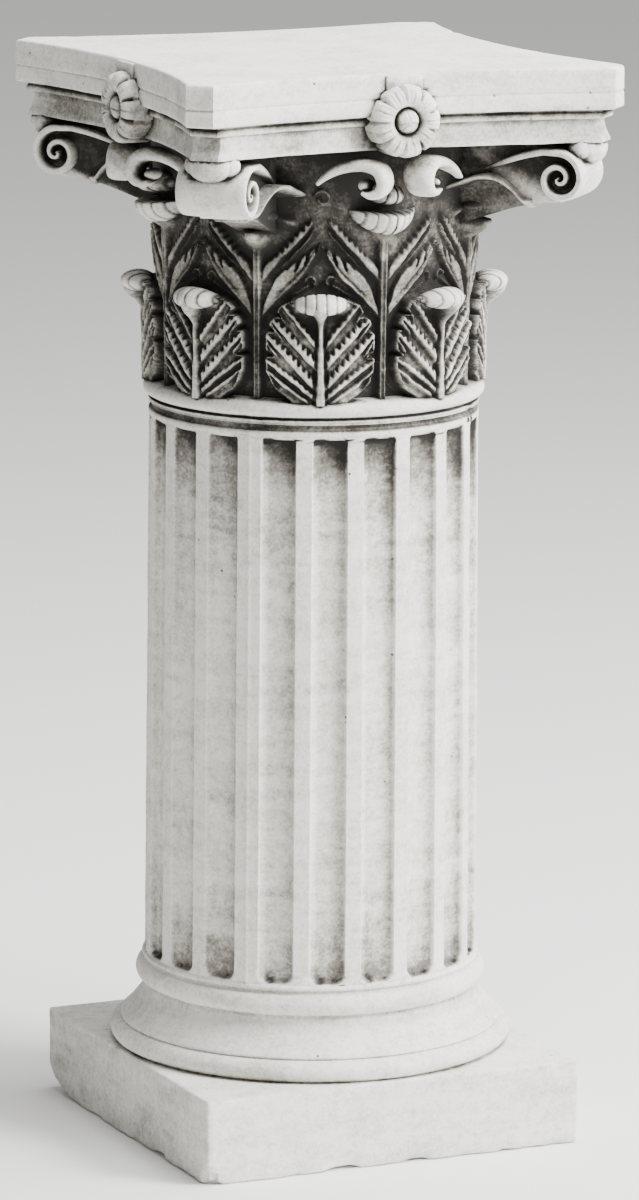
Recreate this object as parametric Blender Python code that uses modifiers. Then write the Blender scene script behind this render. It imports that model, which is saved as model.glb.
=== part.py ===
"""Garden column in cast stone: a short fluted column on a square plinth, with a leaf capital.

Metres, +Z up. The origin is the centre of the plinth's underside, and the faces of the plinth
and of the top slab look along -X, +X, -Y and +Y. The whole column is one casting.
"""
import math

import bmesh
import bpy
from mathutils import Matrix, Vector

# Driving dimensions, in metres unless a comment says otherwise
PLINTH_SIDE = 0.300
PLINTH_HEIGHT = 0.063
PLINTH_EDGE = 0.0022

TORUS_RADIUS = 0.1495
TORUS_HEIGHT = 0.017
TORUS_UNDERCUT = 0.0065
FLARE_FOOT_RADIUS = 0.1415
FLARE_HEIGHT = 0.027
FLARE_HOLLOW = 0.0035
BEAD_RADIUS = 0.1305
BEAD_HEIGHT = 0.017
FOOT_LIP_HEIGHT = 0.006

SHAFT_FOOT_RADIUS = 0.124
SHAFT_HEAD_RADIUS = 0.1215
FLUTE_LENGTH = 0.405
FLUTES_PER_HALF = 10
FLUTE_WIDTH = 0.0268
FLUTE_DEPTH = 0.0055
SEAM_WIDTH = 0.0184
SEAM_ANGLE = 43.0  # degrees from +X: the two halves of the mould met here and opposite

NECK_BAND_HEIGHT = 0.004
NECK_HOLLOW_HEIGHT = 0.0055
NECK_HOLLOW_DEPTH = 0.003
NECK_FILLET_HEIGHT = 0.0045
ASTRAGAL_RADIUS = 0.1258
ASTRAGAL_HEIGHT = 0.012

BELL_FOOT_RADIUS = 0.1125
BELL_HEAD_RADIUS = 0.121
CAPITAL_HEIGHT = 0.184
LEAVES_PER_ROW = 8
LOWER_LEAF_HEIGHT = 0.066
LOWER_LEAF_RELIEF = 0.013
LOBE_GROOVE = 0.0042
LOBES = 4
LEAF_LIP_REACH = 0.142
LEAF_LIP_WIDTH = 0.045
LEAF_LIP_HEIGHT = 0.018
LEAF_LIP_DEPTH = 0.024
UPPER_LEAF_HEIGHT = 0.124
UPPER_LEAF_RELIEF = 0.0068
FRONDS_PER_RIB = 2
FACE_TIP_REACH = 0.142
FACE_TIP = (0.046, 0.040, 0.020)  # the curled tip of the leaf on each face: width, depth, height
FACE_BUD = (0.034, 0.040, 0.015)  # the smaller tip above it

VOLUTE_REACH = 0.2165
VOLUTE_RADIUS = 0.0215
VOLUTE_WIDTH = 0.053
VOLUTE_BAND = 0.0046
VOLUTE_TURNS = 1.7
VOLUTE_WEB_WIDTH = 0.031
VOLUTE_START_DROP = 0.016
HELIX_RADIUS = 0.0150
HELIX_BAND = 0.0064
HELIX_TURNS = 0.95
HELIX_WIDTH = 0.042
HELIX_SPREAD = 0.030
HELIX_REACH = 0.150
HELIX_TURN_OUT = 38.0  # degrees between the helix's flat side and the column's face
KNOB_RADIUS = 0.0135

ABACUS_SIDE = 0.344
ABACUS_HEIGHT = 0.055
ABACUS_CORNER_CUT = 0.0145
ABACUS_HOLLOW = 0.022
SLAB_HEIGHT = 0.031
SLAB_EDGE = 0.0015
UNDER_FILLET_HEIGHT = 0.006
UNDER_FILLET_INSET = 0.006
UNDER_BAND_INSET = 0.0105
UNDER_BAND_FLARE = 0.0038

ROSETTE_DIAMETER = 0.052
ROSETTE_RING = 0.0165
ROSETTE_PROJECTION = 0.010
ROSETTE_PETALS = 8
ROSETTE_BACK = 0.022
ROSETTE_BLOCK_WIDTH = 0.030
ROSETTE_BLOCK_DEPTH = 0.020
ROSETTE_BLOCK_PROJECTION = 0.003

CORNER_LOSS_LENGTH = 0.042
CORNER_LOSS_HEIGHT = 0.016

STONE_COLOUR = (0.62, 0.61, 0.58, 1.0)
STONE_ROUGHNESS = 0.88

# How finely the forms are cut, and how far one is sunk into the next
TURNED_SEGMENTS = 24
SUNK = 0.003
MERGE = 0.00001
FLAT_WITHIN = math.radians(1.0)
KEPT_SHARE = 0.95

# Levels up the column, each stacked on the one below
BASE_TOP = PLINTH_HEIGHT + TORUS_HEIGHT + FLARE_HEIGHT + BEAD_HEIGHT + FOOT_LIP_HEIGHT
FLUTE_TOP = BASE_TOP + FLUTE_LENGTH
CAPITAL_FOOT = (FLUTE_TOP + NECK_BAND_HEIGHT + NECK_HOLLOW_HEIGHT + NECK_FILLET_HEIGHT
                + ASTRAGAL_HEIGHT)
ABACUS_FOOT = CAPITAL_FOOT + CAPITAL_HEIGHT
TOP = ABACUS_FOOT + ABACUS_HEIGHT
FACE_ANGLES = [math.radians(90 * side) for side in range(4)]
CORNER_ANGLES = [math.radians(45 + 90 * side) for side in range(4)]


def clear_scene():
    for existing in list(bpy.data.objects):
        bpy.data.objects.remove(existing, do_unlink=True)


def new_collection(name):
    collection = bpy.data.collections.new(name)
    bpy.context.scene.collection.children.link(collection)
    return collection


def blend(low, high, share):
    return low + (high - low) * share


def add_form(name, bm, collection):
    """Make a closed form from a bmesh, as a guide that the column is joined from."""
    bmesh.ops.recalc_face_normals(bm, faces=bm.faces)
    mesh = bpy.data.meshes.new(name)
    bm.to_mesh(mesh)
    bm.free()
    return add_guide(bpy.data.objects.new(name, mesh), collection)


def add_guide(guide, collection):
    guide.hide_render = True
    guide.display_type = "WIRE"
    collection.objects.link(guide)
    return guide


def face_frame(angle, out, height):
    """Place of a form on a side or corner: its Z looks outwards and its Y is up."""
    outward = Vector((math.cos(angle), math.sin(angle), 0.0))
    across = Vector((0.0, 0.0, 1.0)).cross(outward)
    frame = Matrix((across, Vector((0.0, 0.0, 1.0)), outward)).transposed().to_4x4()
    frame.translation = outward * out + Vector((0.0, 0.0, height))
    return frame


def upright_frame(angle):
    """A plane that stands on the axis: its X runs outwards, its Y is up, its Z is across."""
    outward = Vector((math.cos(angle), math.sin(angle), 0.0))
    up = Vector((0.0, 0.0, 1.0))
    return Matrix((outward, up, outward.cross(up))).transposed().to_4x4()


def arc(centre, radii, start, end, steps):
    """Points along part of an ellipse, angles in degrees."""
    angles = [math.radians(blend(start, end, step / steps)) for step in range(steps + 1)]
    return [(centre[0] + radii[0] * math.cos(a), centre[1] + radii[1] * math.sin(a)) for a in angles]


def turned_form(name, profile, collection):
    """Turn a profile round the axis. It runs down the outer side, top to bottom."""
    mesh = bpy.data.meshes.new(name)
    points = [(radius, 0.0, height) for radius, height in profile]
    mesh.from_pydata(points, [(i, i + 1) for i in range(len(points) - 1)], [])
    form = bpy.data.objects.new(name, mesh)
    screw = form.modifiers.new("turn", "SCREW")
    screw.axis = "Z"
    screw.angle = math.tau
    screw.steps = TURNED_SEGMENTS
    screw.render_steps = TURNED_SEGMENTS
    screw.use_merge_vertices = True
    screw.merge_threshold = MERGE
    return add_guide(form, collection)


def flat_form(name, outline, thickness, frame, collection):
    """Give a closed outline its thickness, half on each side of its own plane."""
    curve = bpy.data.curves.new(name, "CURVE")
    curve.dimensions = "2D"
    curve.fill_mode = "BOTH"
    curve.extrude = thickness / 2
    spline = curve.splines.new("POLY")
    spline.points.add(len(outline) - 1)
    for point, (x, y) in zip(spline.points, outline):
        point.co = (x, y, 0.0, 1.0)
    spline.use_cyclic_u = True
    drawn = bpy.data.objects.new(name, curve)
    bpy.context.scene.collection.objects.link(drawn)
    graph = bpy.context.evaluated_depsgraph_get()
    mesh = bpy.data.meshes.new_from_object(drawn.evaluated_get(graph))
    bm = bmesh.new()
    bm.from_mesh(mesh)
    bpy.data.objects.remove(drawn, do_unlink=True)
    bpy.data.curves.remove(curve)
    bpy.data.meshes.remove(mesh)
    bmesh.ops.remove_doubles(bm, verts=bm.verts, dist=MERGE)
    bmesh.ops.transform(bm, matrix=frame, verts=bm.verts)
    return add_form(name, bm, collection)


def box_form(name, size, frame, collection):
    bm = bmesh.new()
    bmesh.ops.create_cube(bm, size=1.0)
    bmesh.ops.scale(bm, vec=size, verts=bm.verts)
    bmesh.ops.transform(bm, matrix=frame, verts=bm.verts)
    return add_form(name, bm, collection)


def base_mouldings(collection):
    """Torus, flared hollow and bead, from the plinth to the foot of the flutes."""
    torus_top = PLINTH_HEIGHT + TORUS_HEIGHT
    flare_top = torus_top + FLARE_HEIGHT
    bead_top = flare_top + BEAD_HEIGHT
    lip_radius = SHAFT_FOOT_RADIUS + 0.0012
    profile = [(0.0, BASE_TOP), (SHAFT_FOOT_RADIUS, BASE_TOP)]
    profile += [(lip_radius, BASE_TOP - FOOT_LIP_HEIGHT / 3), (lip_radius, bead_top)]
    bead_half = BEAD_HEIGHT / 2 - 0.001
    bead_depth = BEAD_RADIUS - lip_radius + 0.001
    bead_centre = (BEAD_RADIUS - bead_depth, bead_top - bead_half - 0.001)
    profile += arc(bead_centre, (bead_depth, bead_half), 75, -75, 3)
    bead_foot_radius = SHAFT_FOOT_RADIUS + 0.001
    profile.append((bead_foot_radius, flare_top))
    waist = blend(bead_foot_radius, FLARE_FOOT_RADIUS, 0.5) - FLARE_HOLLOW
    profile.append((waist, blend(flare_top, torus_top, 0.5)))
    profile.append((FLARE_FOOT_RADIUS, torus_top))
    torus_half = TORUS_HEIGHT / 2
    torus_depth = TORUS_RADIUS - FLARE_FOOT_RADIUS + TORUS_UNDERCUT
    torus_centre = (TORUS_RADIUS - torus_depth, torus_top - torus_half)
    profile += arc(torus_centre, (torus_depth, torus_half), 55, -60, 3)
    torus_foot = TORUS_RADIUS - TORUS_UNDERCUT - 0.002
    profile += [(torus_foot, PLINTH_HEIGHT - SUNK), (0.0, PLINTH_HEIGHT - SUNK)]
    return turned_form("base_mouldings", profile, collection)


def neck_mouldings(collection):
    """Band, hollow, fillet and astragal between the flutes and the leaves."""
    band_top = FLUTE_TOP + NECK_BAND_HEIGHT
    hollow_top = band_top + NECK_HOLLOW_HEIGHT
    fillet_top = hollow_top + NECK_FILLET_HEIGHT
    hollow_radius = SHAFT_HEAD_RADIUS - NECK_HOLLOW_DEPTH
    half = ASTRAGAL_HEIGHT / 2
    depth = ASTRAGAL_RADIUS - hollow_radius
    profile = [(0.0, CAPITAL_FOOT + SUNK), (BELL_FOOT_RADIUS - SUNK, CAPITAL_FOOT + SUNK)]
    profile += [(BELL_FOOT_RADIUS, CAPITAL_FOOT)]
    profile += arc((hollow_radius, CAPITAL_FOOT - half), (depth, half), 75, -75, 3)
    profile += [(hollow_radius + 0.0005, fillet_top), (SHAFT_HEAD_RADIUS, fillet_top - 0.001)]
    profile += [(SHAFT_HEAD_RADIUS, hollow_top), (hollow_radius, blend(band_top, hollow_top, 0.5))]
    profile.append((SHAFT_HEAD_RADIUS, band_top))
    profile += [(SHAFT_HEAD_RADIUS, FLUTE_TOP), (0.0, FLUTE_TOP)]
    return turned_form("neck_mouldings", profile, collection)


def fluted_outline():
    """The shaft's outline in plan: two halves of the mould, each with its flutes."""
    flute = FLUTE_WIDTH / SHAFT_FOOT_RADIUS
    seam = SEAM_WIDTH / SHAFT_FOOT_RADIUS
    fillet = (math.pi - seam - FLUTES_PER_HALF * flute) / (FLUTES_PER_HALF - 1)
    sections = ((0.0, 0.0), (0.14, 0.72), (0.5, 1.0), (0.86, 0.72), (1.0, 0.0))
    outline = []
    for half in range(2):
        start = math.radians(SEAM_ANGLE) + math.pi * half + seam / 2
        for index in range(FLUTES_PER_HALF):
            first = start + index * (flute + fillet)
            for share, depth in sections:
                angle = first + share * flute
                radius = SHAFT_FOOT_RADIUS - FLUTE_DEPTH * depth
                outline.append((radius * math.cos(angle), radius * math.sin(angle)))
    return outline


def fluted_shaft(collection):
    """The fluted shaft, a little slimmer at its head."""
    foot, head = BASE_TOP - SUNK, FLUTE_TOP + SUNK
    bm = bmesh.new()
    ring = [bm.verts.new((x, y, foot)) for x, y in fluted_outline()]
    face = bm.faces.new(ring)
    raised = bmesh.ops.extrude_face_region(bm, geom=[face])
    upper = [item for item in raised["geom"] if isinstance(item, bmesh.types.BMVert)]
    taper = SHAFT_HEAD_RADIUS / SHAFT_FOOT_RADIUS
    bmesh.ops.translate(bm, vec=(0.0, 0.0, head - foot), verts=upper)
    bmesh.ops.scale(bm, vec=(taper, taper, 1.0), verts=upper)
    return add_form("fluted_shaft", bm, collection)


# The capital's rows: the lobes of a lower leaf, its shoulder, then the fronds above it
HALF_SECTOR = math.pi / LEAVES_PER_ROW
LOBE_ROWS = 2 * LOBES - 1
FROND_ROWS = 2 * FRONDS_PER_RIB
MIDRIB_SHARE = 0.107
EDGE_SHARE = 0.83
NOTCH_SHARE = 0.12
GROUND_SHARE = 0.045


def bell_radius(height):
    """The bare bell, which opens out towards the top slab."""
    share = max(0.0, height / CAPITAL_HEIGHT)
    return blend(BELL_FOOT_RADIUS, BELL_HEAD_RADIUS, share ** 2.2)


def lower_leaf_point(column, lobe_position):
    """Angle, height and radius on a lower leaf; whole lobe positions are crests."""
    along = lobe_position / (LOBES - 1)
    crest = 0.5 + 0.5 * math.cos(math.tau * lobe_position)
    edge = EDGE_SHARE - 0.22 * along ** 4 - NOTCH_SHARE * (1.0 - crest)
    shares = (0.0, MIDRIB_SHARE, blend(MIDRIB_SHARE, edge, 0.55), edge, edge + GROUND_SHARE, 1.0)
    share = shares[column]
    low = 0.03 + 0.65 * along ** 1.35
    high = 0.15 + 0.83 * along
    height = LOWER_LEAF_HEIGHT * blend(low, high, min(1.0, share / EDGE_SHARE))
    ground = bell_radius(height)
    crown = LOWER_LEAF_RELIEF - LOBE_GROOVE * (1.0 - crest)
    midrib = LOWER_LEAF_RELIEF + 0.0015
    upper_midrib = UPPER_LEAF_RELIEF * 0.8
    reliefs = (midrib, LOWER_LEAF_RELIEF - LOBE_GROOVE, crown, crown * 0.9, 0.0, upper_midrib)
    return share * HALF_SECTOR, height, ground + reliefs[column]


def flare_point(column):
    """The shoulder of a lower leaf, where it bends outwards under its lip."""
    shares = (0.0, MIDRIB_SHARE, 0.36, 0.55, 0.80, 1.0)
    heights = (0.95, 0.96, 0.99, 1.02, 1.04, 1.04)
    reach = LEAF_LIP_REACH - BELL_FOOT_RADIUS
    reliefs = (reach * 0.83, reach * 0.80, reach * 0.62, reach * 0.2, 0.0, UPPER_LEAF_RELIEF * 0.8)
    height = LOWER_LEAF_HEIGHT * heights[column]
    return shares[column] * HALF_SECTOR, height, bell_radius(height) + reliefs[column]


def upper_leaf_point(column, frond_row):
    """Angle, height and radius above the lower leaves; odd rows are the fronds' crests."""
    shares = (0.0, 0.12, 0.38, 0.64, 0.87, 1.0)
    share = shares[column]
    along = frond_row / FROND_ROWS
    rise = UPPER_LEAF_HEIGHT - LOWER_LEAF_HEIGHT
    at_midrib = LOWER_LEAF_HEIGHT * 1.06 + rise * 0.85 * along ** 1.5
    at_centre = LOWER_LEAF_HEIGHT * 1.12 + rise * 1.05 * along ** 0.75
    height = blend(at_centre, at_midrib, share)
    crest = UPPER_LEAF_RELIEF * (1.0 if frond_row % 2 else 0.1)
    reliefs = (crest * 0.6, crest, crest, crest, crest * 0.6, UPPER_LEAF_RELIEF * 0.85)
    return share * HALF_SECTOR, height, bell_radius(height) + reliefs[column]


def core_point(column, row):
    """One point of the half sector between a lower leaf's middle and an upper leaf's midrib."""
    if row == 0:
        angle, _, _ = lower_leaf_point(column, 0)
        reliefs = (0.0105, 0.005, 0.004, 0.002, 0.0, UPPER_LEAF_RELIEF * 0.8)
        return angle, -SUNK / 2, bell_radius(0.0) + reliefs[column]
    if row <= LOBE_ROWS:
        return lower_leaf_point(column, (row - 1) / 2)
    if row == LOBE_ROWS + 1:
        return flare_point(column)
    frond_row = row - LOBE_ROWS - 2
    if frond_row <= FROND_ROWS:
        return upper_leaf_point(column, frond_row)
    angle, _, _ = upper_leaf_point(column, FROND_ROWS)
    height = CAPITAL_HEIGHT + SUNK
    return angle, height, bell_radius(height)


def capital_core(collection):
    """The bell with both rows of leaves in relief, as one grid that goes round the axis."""
    columns, rows = 5, LOBE_ROWS + FROND_ROWS + 3
    bm = bmesh.new()
    bmesh.ops.create_grid(bm, x_segments=columns, y_segments=rows, size=0.5)
    for vert in bm.verts:
        column = round((vert.co.x + 0.5) * columns)
        row = round((vert.co.y + 0.5) * rows)
        angle, height, radius = core_point(column, row)
        vert.co = (radius * math.cos(angle), radius * math.sin(angle), CAPITAL_FOOT + height)
    half_sector = bm.verts[:] + bm.edges[:] + bm.faces[:]
    bmesh.ops.mirror(bm, geom=half_sector, matrix=Matrix(), merge_dist=MERGE, axis="Y")
    sector = bm.verts[:] + bm.edges[:] + bm.faces[:]
    turn = math.tau * (LEAVES_PER_ROW - 1) / LEAVES_PER_ROW
    bmesh.ops.spin(bm, geom=sector, cent=(0, 0, 0), axis=(0, 0, 1), dvec=(0, 0, 0), angle=turn,
                   steps=LEAVES_PER_ROW - 1, use_merge=False, use_duplicate=True)
    bmesh.ops.remove_doubles(bm, verts=bm.verts, dist=MERGE)
    bmesh.ops.holes_fill(bm, edges=[edge for edge in bm.edges if edge.is_boundary], sides=0)
    bmesh.ops.rotate(bm, cent=(0, 0, 0), matrix=Matrix.Rotation(HALF_SECTOR, 3, "Z"), verts=bm.verts)
    return add_form("capital_core", bm, collection)


def curled_tip(name, angle, reach, height, size, cuts, collection):
    """The curled tip of a leaf: a flattened roll that droops towards both ends."""
    width, depth, tall = size
    bm = bmesh.new()
    bmesh.ops.create_uvsphere(bm, u_segments=cuts[0], v_segments=cuts[1], radius=1.0)
    bmesh.ops.rotate(bm, cent=(0, 0, 0), matrix=Matrix.Rotation(math.pi / 2, 3, "Y"), verts=bm.verts)
    for vert in bm.verts:
        droop = vert.co.x ** 2
        vert.co.x *= width / 2
        vert.co.z = vert.co.z * depth / 2 - droop * depth * 0.45
        vert.co.y = vert.co.y * tall / 2 - droop * tall * 0.18
    bmesh.ops.transform(bm, matrix=face_frame(angle, reach - depth / 2, height), verts=bm.verts)
    return add_form(name, bm, collection)


def leaf_tips(collection):
    """Curled tips of the lower leaves and of the leaves on the faces, each face leaf with a bud."""
    lip = (LEAF_LIP_WIDTH, LEAF_LIP_DEPTH, LEAF_LIP_HEIGHT)
    for index in range(LEAVES_PER_ROW):
        angle = HALF_SECTOR + index * 2 * HALF_SECTOR
        height = CAPITAL_FOOT + LOWER_LEAF_HEIGHT + LEAF_LIP_HEIGHT * 0.42
        curled_tip("lower_leaf_tip_%d" % index, angle, LEAF_LIP_REACH, height, lip, (7, 5), collection)
    upper_height = CAPITAL_FOOT + UPPER_LEAF_HEIGHT
    for index, angle in enumerate(FACE_ANGLES):
        tip_height = upper_height + FACE_TIP[2] * 0.6
        name = "face_leaf_tip_%d" % index
        curled_tip(name, angle, FACE_TIP_REACH, tip_height, FACE_TIP, (8, 4), collection)
        bud_height = tip_height + FACE_TIP[2] * 0.6 + FACE_BUD[2] * 0.6
        name = "face_leaf_bud_%d" % index
        curled_tip(name, angle, FACE_TIP_REACH, bud_height, FACE_BUD, (6, 4), collection)


def spiral_strip(start, centre, radius, band, turns, steps):
    """Outline of a band that runs in from a point, over the top of a spiral and round it."""
    last_radius = band * 0.9
    outer, inner = [], []
    run = Vector((centre[0], centre[1] + radius)) - Vector(start)
    for step in range(2):
        share = step / 2
        sag = band * 0.9 * math.sin(math.pi * share)
        outer.append((start[0] + run.x * share, start[1] + run.y * share + sag))
        inner.append((start[0] + run.x * share, start[1] + run.y * share + sag - band))
    for step in range(steps + 1):
        share = step / steps
        angle = math.pi / 2 - math.tau * turns * share
        far = blend(radius, last_radius, share)
        near = far - band * blend(1.0, 0.62, share)
        outer.append((centre[0] + far * math.cos(angle), centre[1] + far * math.sin(angle)))
        inner.append((centre[0] + near * math.cos(angle), centre[1] + near * math.sin(angle)))
    return outer + inner[::-1]


def corner_volutes(collection):
    """At each corner a scrolled band, the web that closes it and the leaf that carries it."""
    centre = (VOLUTE_REACH - VOLUTE_RADIUS, ABACUS_FOOT - VOLUTE_RADIUS - 0.0015)
    start = (BELL_FOOT_RADIUS, ABACUS_FOOT - VOLUTE_START_DROP)
    strip = spiral_strip(start, centre, VOLUTE_RADIUS, VOLUTE_BAND, VOLUTE_TURNS, 14)
    root = (BELL_FOOT_RADIUS - SUNK, CAPITAL_FOOT + UPPER_LEAF_HEIGHT * 0.84)
    elbow = (blend(BELL_FOOT_RADIUS, centre[0], 0.55), CAPITAL_FOOT + UPPER_LEAF_HEIGHT + 0.004)
    seat = (centre[0], centre[1] - VOLUTE_RADIUS + VOLUTE_BAND / 2)
    bend = (blend(BELL_FOOT_RADIUS, elbow[0], 0.45), blend(root[1], elbow[1], 0.60))
    web = [root, bend, elbow, (seat[0], seat[1] + 0.001)]
    web += arc(centre, (VOLUTE_RADIUS - 0.002, VOLUTE_RADIUS - 0.002), -60, 90, 5)
    web.append((BELL_FOOT_RADIUS - SUNK, start[1] - VOLUTE_BAND / 2))
    support = [(root[0], root[1] - 0.003), (bend[0], bend[1] - 0.003)]
    support.append((elbow[0] - 0.009, elbow[1] - 0.007))
    support += [(elbow[0] - 0.001, elbow[1] - 0.004), (elbow[0] + 0.003, elbow[1])]
    support += [(seat[0], seat[1] - 0.001), (seat[0], seat[1] + 0.002)]
    support += [(elbow[0], elbow[1] + 0.004), (root[0], root[1] + 0.010)]
    for index, angle in enumerate(CORNER_ANGLES):
        frame = upright_frame(angle)
        flat_form("volute_%d" % index, strip, VOLUTE_WIDTH, frame, collection)
        flat_form("volute_web_%d" % index, web, VOLUTE_WEB_WIDTH, frame, collection)
        flat_form("volute_leaf_%d" % index, support, VOLUTE_WEB_WIDTH + 0.006, frame, collection)
        knob_form("corner_knob_%d" % index, angle, collection)


def knob_form(name, angle, collection):
    """The rounded knob between a corner of the slab and its volute."""
    corner = ABACUS_SIDE / math.sqrt(2) - ABACUS_CORNER_CUT / math.sqrt(2)
    bm = bmesh.new()
    bmesh.ops.create_uvsphere(bm, u_segments=6, v_segments=4, radius=KNOB_RADIUS)
    bmesh.ops.scale(bm, vec=(1.15, 0.75, 0.95), verts=bm.verts)
    frame = face_frame(angle, corner - KNOB_RADIUS * 1.35, ABACUS_FOOT - KNOB_RADIUS * 0.4)
    bmesh.ops.transform(bm, matrix=frame, verts=bm.verts)
    return add_form(name, bm, collection)


def face_helices(collection):
    """A pair of small scrolls under each rosette, which curl towards one another."""
    height = ABACUS_FOOT - HELIX_RADIUS + SUNK / 2
    lean = math.radians(HELIX_TURN_OUT)
    middle = HELIX_REACH - HELIX_WIDTH / 2 * math.cos(lean)
    aside = HELIX_SPREAD - HELIX_WIDTH / 2 * math.sin(lean)
    start = (-HELIX_RADIUS * 1.9, HELIX_RADIUS * 0.1)
    strip = spiral_strip(start, (0.0, 0.0), HELIX_RADIUS, HELIX_BAND, HELIX_TURNS, 5)
    for index, angle in enumerate(FACE_ANGLES):
        for side in (-1, 1):
            frame = face_frame(angle, middle, height)
            frame = frame @ Matrix.Translation((side * aside, 0.0, 0.0))
            frame = frame @ Matrix.Rotation(side * lean, 4, "Y")
            flip = Matrix.Diagonal((-side, 1.0, 1.0, 1.0))
            name = "helix_%d_%s" % (index, "left" if side < 0 else "right")
            flat_form(name, strip, HELIX_WIDTH, frame @ flip, collection)


def abacus_outline(inset):
    """The slab in plan: four hollow sides between four cut corners."""
    half = ABACUS_SIDE / 2 - inset
    run = half - ABACUS_CORNER_CUT
    bow = (run * run + ABACUS_HOLLOW * ABACUS_HOLLOW) / (2 * ABACUS_HOLLOW)
    steps = 5
    outline = []
    for angle in FACE_ANGLES:
        for step in range(steps + 1):
            along = blend(-run, run, step / steps)
            hollow = math.sqrt(bow * bow - along * along) - (bow - ABACUS_HOLLOW)
            out = half - hollow
            outline.append((out * math.cos(angle) - along * math.sin(angle),
                            out * math.sin(angle) + along * math.cos(angle)))
    return outline


def abacus(collection):
    """The top slab and the mouldings under its edge, as levels of one outline."""
    slab_foot = TOP - SLAB_HEIGHT
    fillet_foot = slab_foot - UNDER_FILLET_HEIGHT
    levels = [(TOP, SLAB_EDGE), (TOP - SLAB_EDGE, 0.0), (slab_foot, 0.0)]
    levels += [(slab_foot - 0.0006, UNDER_FILLET_INSET), (fillet_foot, UNDER_FILLET_INSET)]
    levels.append((fillet_foot - 0.0012, UNDER_BAND_INSET))
    levels.append((ABACUS_FOOT, UNDER_BAND_INSET - UNDER_BAND_FLARE))
    bm = bmesh.new()
    rings = []
    for height, inset in levels:
        ring = [bm.verts.new((x, y, height)) for x, y in abacus_outline(inset)]
        rings.append([bm.edges.new((ring[i - 1], ring[i])) for i in range(len(ring))])
    for upper, lower in zip(rings, rings[1:]):
        bmesh.ops.bridge_loops(bm, edges=upper + lower)
    bmesh.ops.holes_fill(bm, edges=rings[0] + rings[-1], sides=0)
    return add_form("abacus", bm, collection)


def rosettes(collection):
    """A flower at the middle of each side: a ring of petals round a button, under a block."""
    face_out = ABACUS_SIDE / 2 - ABACUS_HOLLOW
    front = face_out + ROSETTE_PROJECTION
    height = TOP - SLAB_HEIGHT - 0.003
    ring_radius = (ROSETTE_DIAMETER - ROSETTE_RING) / 2
    floor = front - ROSETTE_RING * 0.45
    for index, angle in enumerate(FACE_ANGLES):
        petal_frame = face_frame(angle, front - ROSETTE_RING / 2, height)
        bm = bmesh.new()
        bmesh.ops.create_circle(bm, segments=4, radius=ROSETTE_RING / 2)
        bmesh.ops.rotate(bm, cent=(0, 0, 0), matrix=Matrix.Rotation(math.pi / 2, 3, "X"), verts=bm.verts)
        bmesh.ops.translate(bm, vec=(ring_radius, 0.0, 0.0), verts=bm.verts)
        section = bm.verts[:] + bm.edges[:]
        bmesh.ops.spin(bm, geom=section, cent=(0, 0, 0), axis=(0, 0, 1), dvec=(0, 0, 0), angle=math.tau,
                       steps=2 * ROSETTE_PETALS, use_merge=True, use_duplicate=False)
        for vert in bm.verts:
            turn = math.atan2(vert.co.y, vert.co.x) / math.pi * ROSETTE_PETALS
            if round(turn) % 2:
                away = Vector((vert.co.x, vert.co.y, 0.0)).normalized() * ring_radius
                vert.co = away + (vert.co - away) * 0.80
        bmesh.ops.transform(bm, matrix=petal_frame, verts=bm.verts)
        add_form("rosette_petals_%d" % index, bm, collection)
        bm = bmesh.new()
        back_radius = ring_radius + ROSETTE_RING * 0.32
        bmesh.ops.create_cone(bm, cap_ends=True, segments=10, radius1=back_radius, radius2=back_radius,
                              depth=ROSETTE_BACK)
        back_frame = face_frame(angle, floor - ROSETTE_BACK / 2, height)
        bmesh.ops.transform(bm, matrix=back_frame, verts=bm.verts)
        add_form("rosette_back_%d" % index, bm, collection)
        bm = bmesh.new()
        bmesh.ops.create_uvsphere(bm, u_segments=6, v_segments=4, radius=ROSETTE_RING * 0.42)
        bmesh.ops.transform(bm, matrix=face_frame(angle, floor, height), verts=bm.verts)
        add_form("rosette_button_%d" % index, bm, collection)
        block = (ROSETTE_BLOCK_WIDTH, SLAB_HEIGHT * 0.55, ROSETTE_BLOCK_DEPTH)
        block_out = face_out + ROSETTE_BLOCK_PROJECTION - ROSETTE_BLOCK_DEPTH / 2
        block_frame = face_frame(angle, block_out, TOP - 0.0009 - block[1] / 2)
        box_form("rosette_block_%d" % index, block, block_frame, collection)


def lost_corner(collection):
    """The lower corner that is broken off the plinth: all that lies under one slanting plane."""
    half = PLINTH_SIDE / 2
    upper = Vector((-half, half, CORNER_LOSS_HEIGHT))
    along_side = Vector((-half, half - CORNER_LOSS_LENGTH, 0.0))
    along_back = Vector((-half + CORNER_LOSS_LENGTH, half, 0.0))
    normal = (along_side - upper).cross(along_back - upper).normalized()
    size = 2 * CORNER_LOSS_LENGTH
    middle = (upper + along_side + along_back) / 3 - normal * size / 2
    frame = Matrix.Translation(middle) @ normal.to_track_quat("Z", "Y").to_matrix().to_4x4()
    box_form("lost_corner", (size, size, size), frame, collection)


def chips(collection):
    """Small chips off the plinth's edges."""
    half = PLINTH_SIDE / 2
    places = (((half - 0.012, -half, PLINTH_HEIGHT), (0.014, 0.004, 0.0032), 0.0),
              ((-half, -half, 0.0), (0.012, 0.010, 0.006), 45.0),
              ((PLINTH_SIDE * 0.07, -half, 0.0), (0.016, 0.0035, 0.003), 0.0))
    for index, (place, size, turn) in enumerate(places):
        bm = bmesh.new()
        bmesh.ops.create_icosphere(bm, subdivisions=1, radius=1.0)
        bmesh.ops.scale(bm, vec=size, verts=bm.verts)
        placed = Matrix.Translation(place) @ Matrix.Rotation(math.radians(turn), 4, "Z")
        bmesh.ops.transform(bm, matrix=placed, verts=bm.verts)
        add_form("chip_%d" % index, bm, collection)


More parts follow.
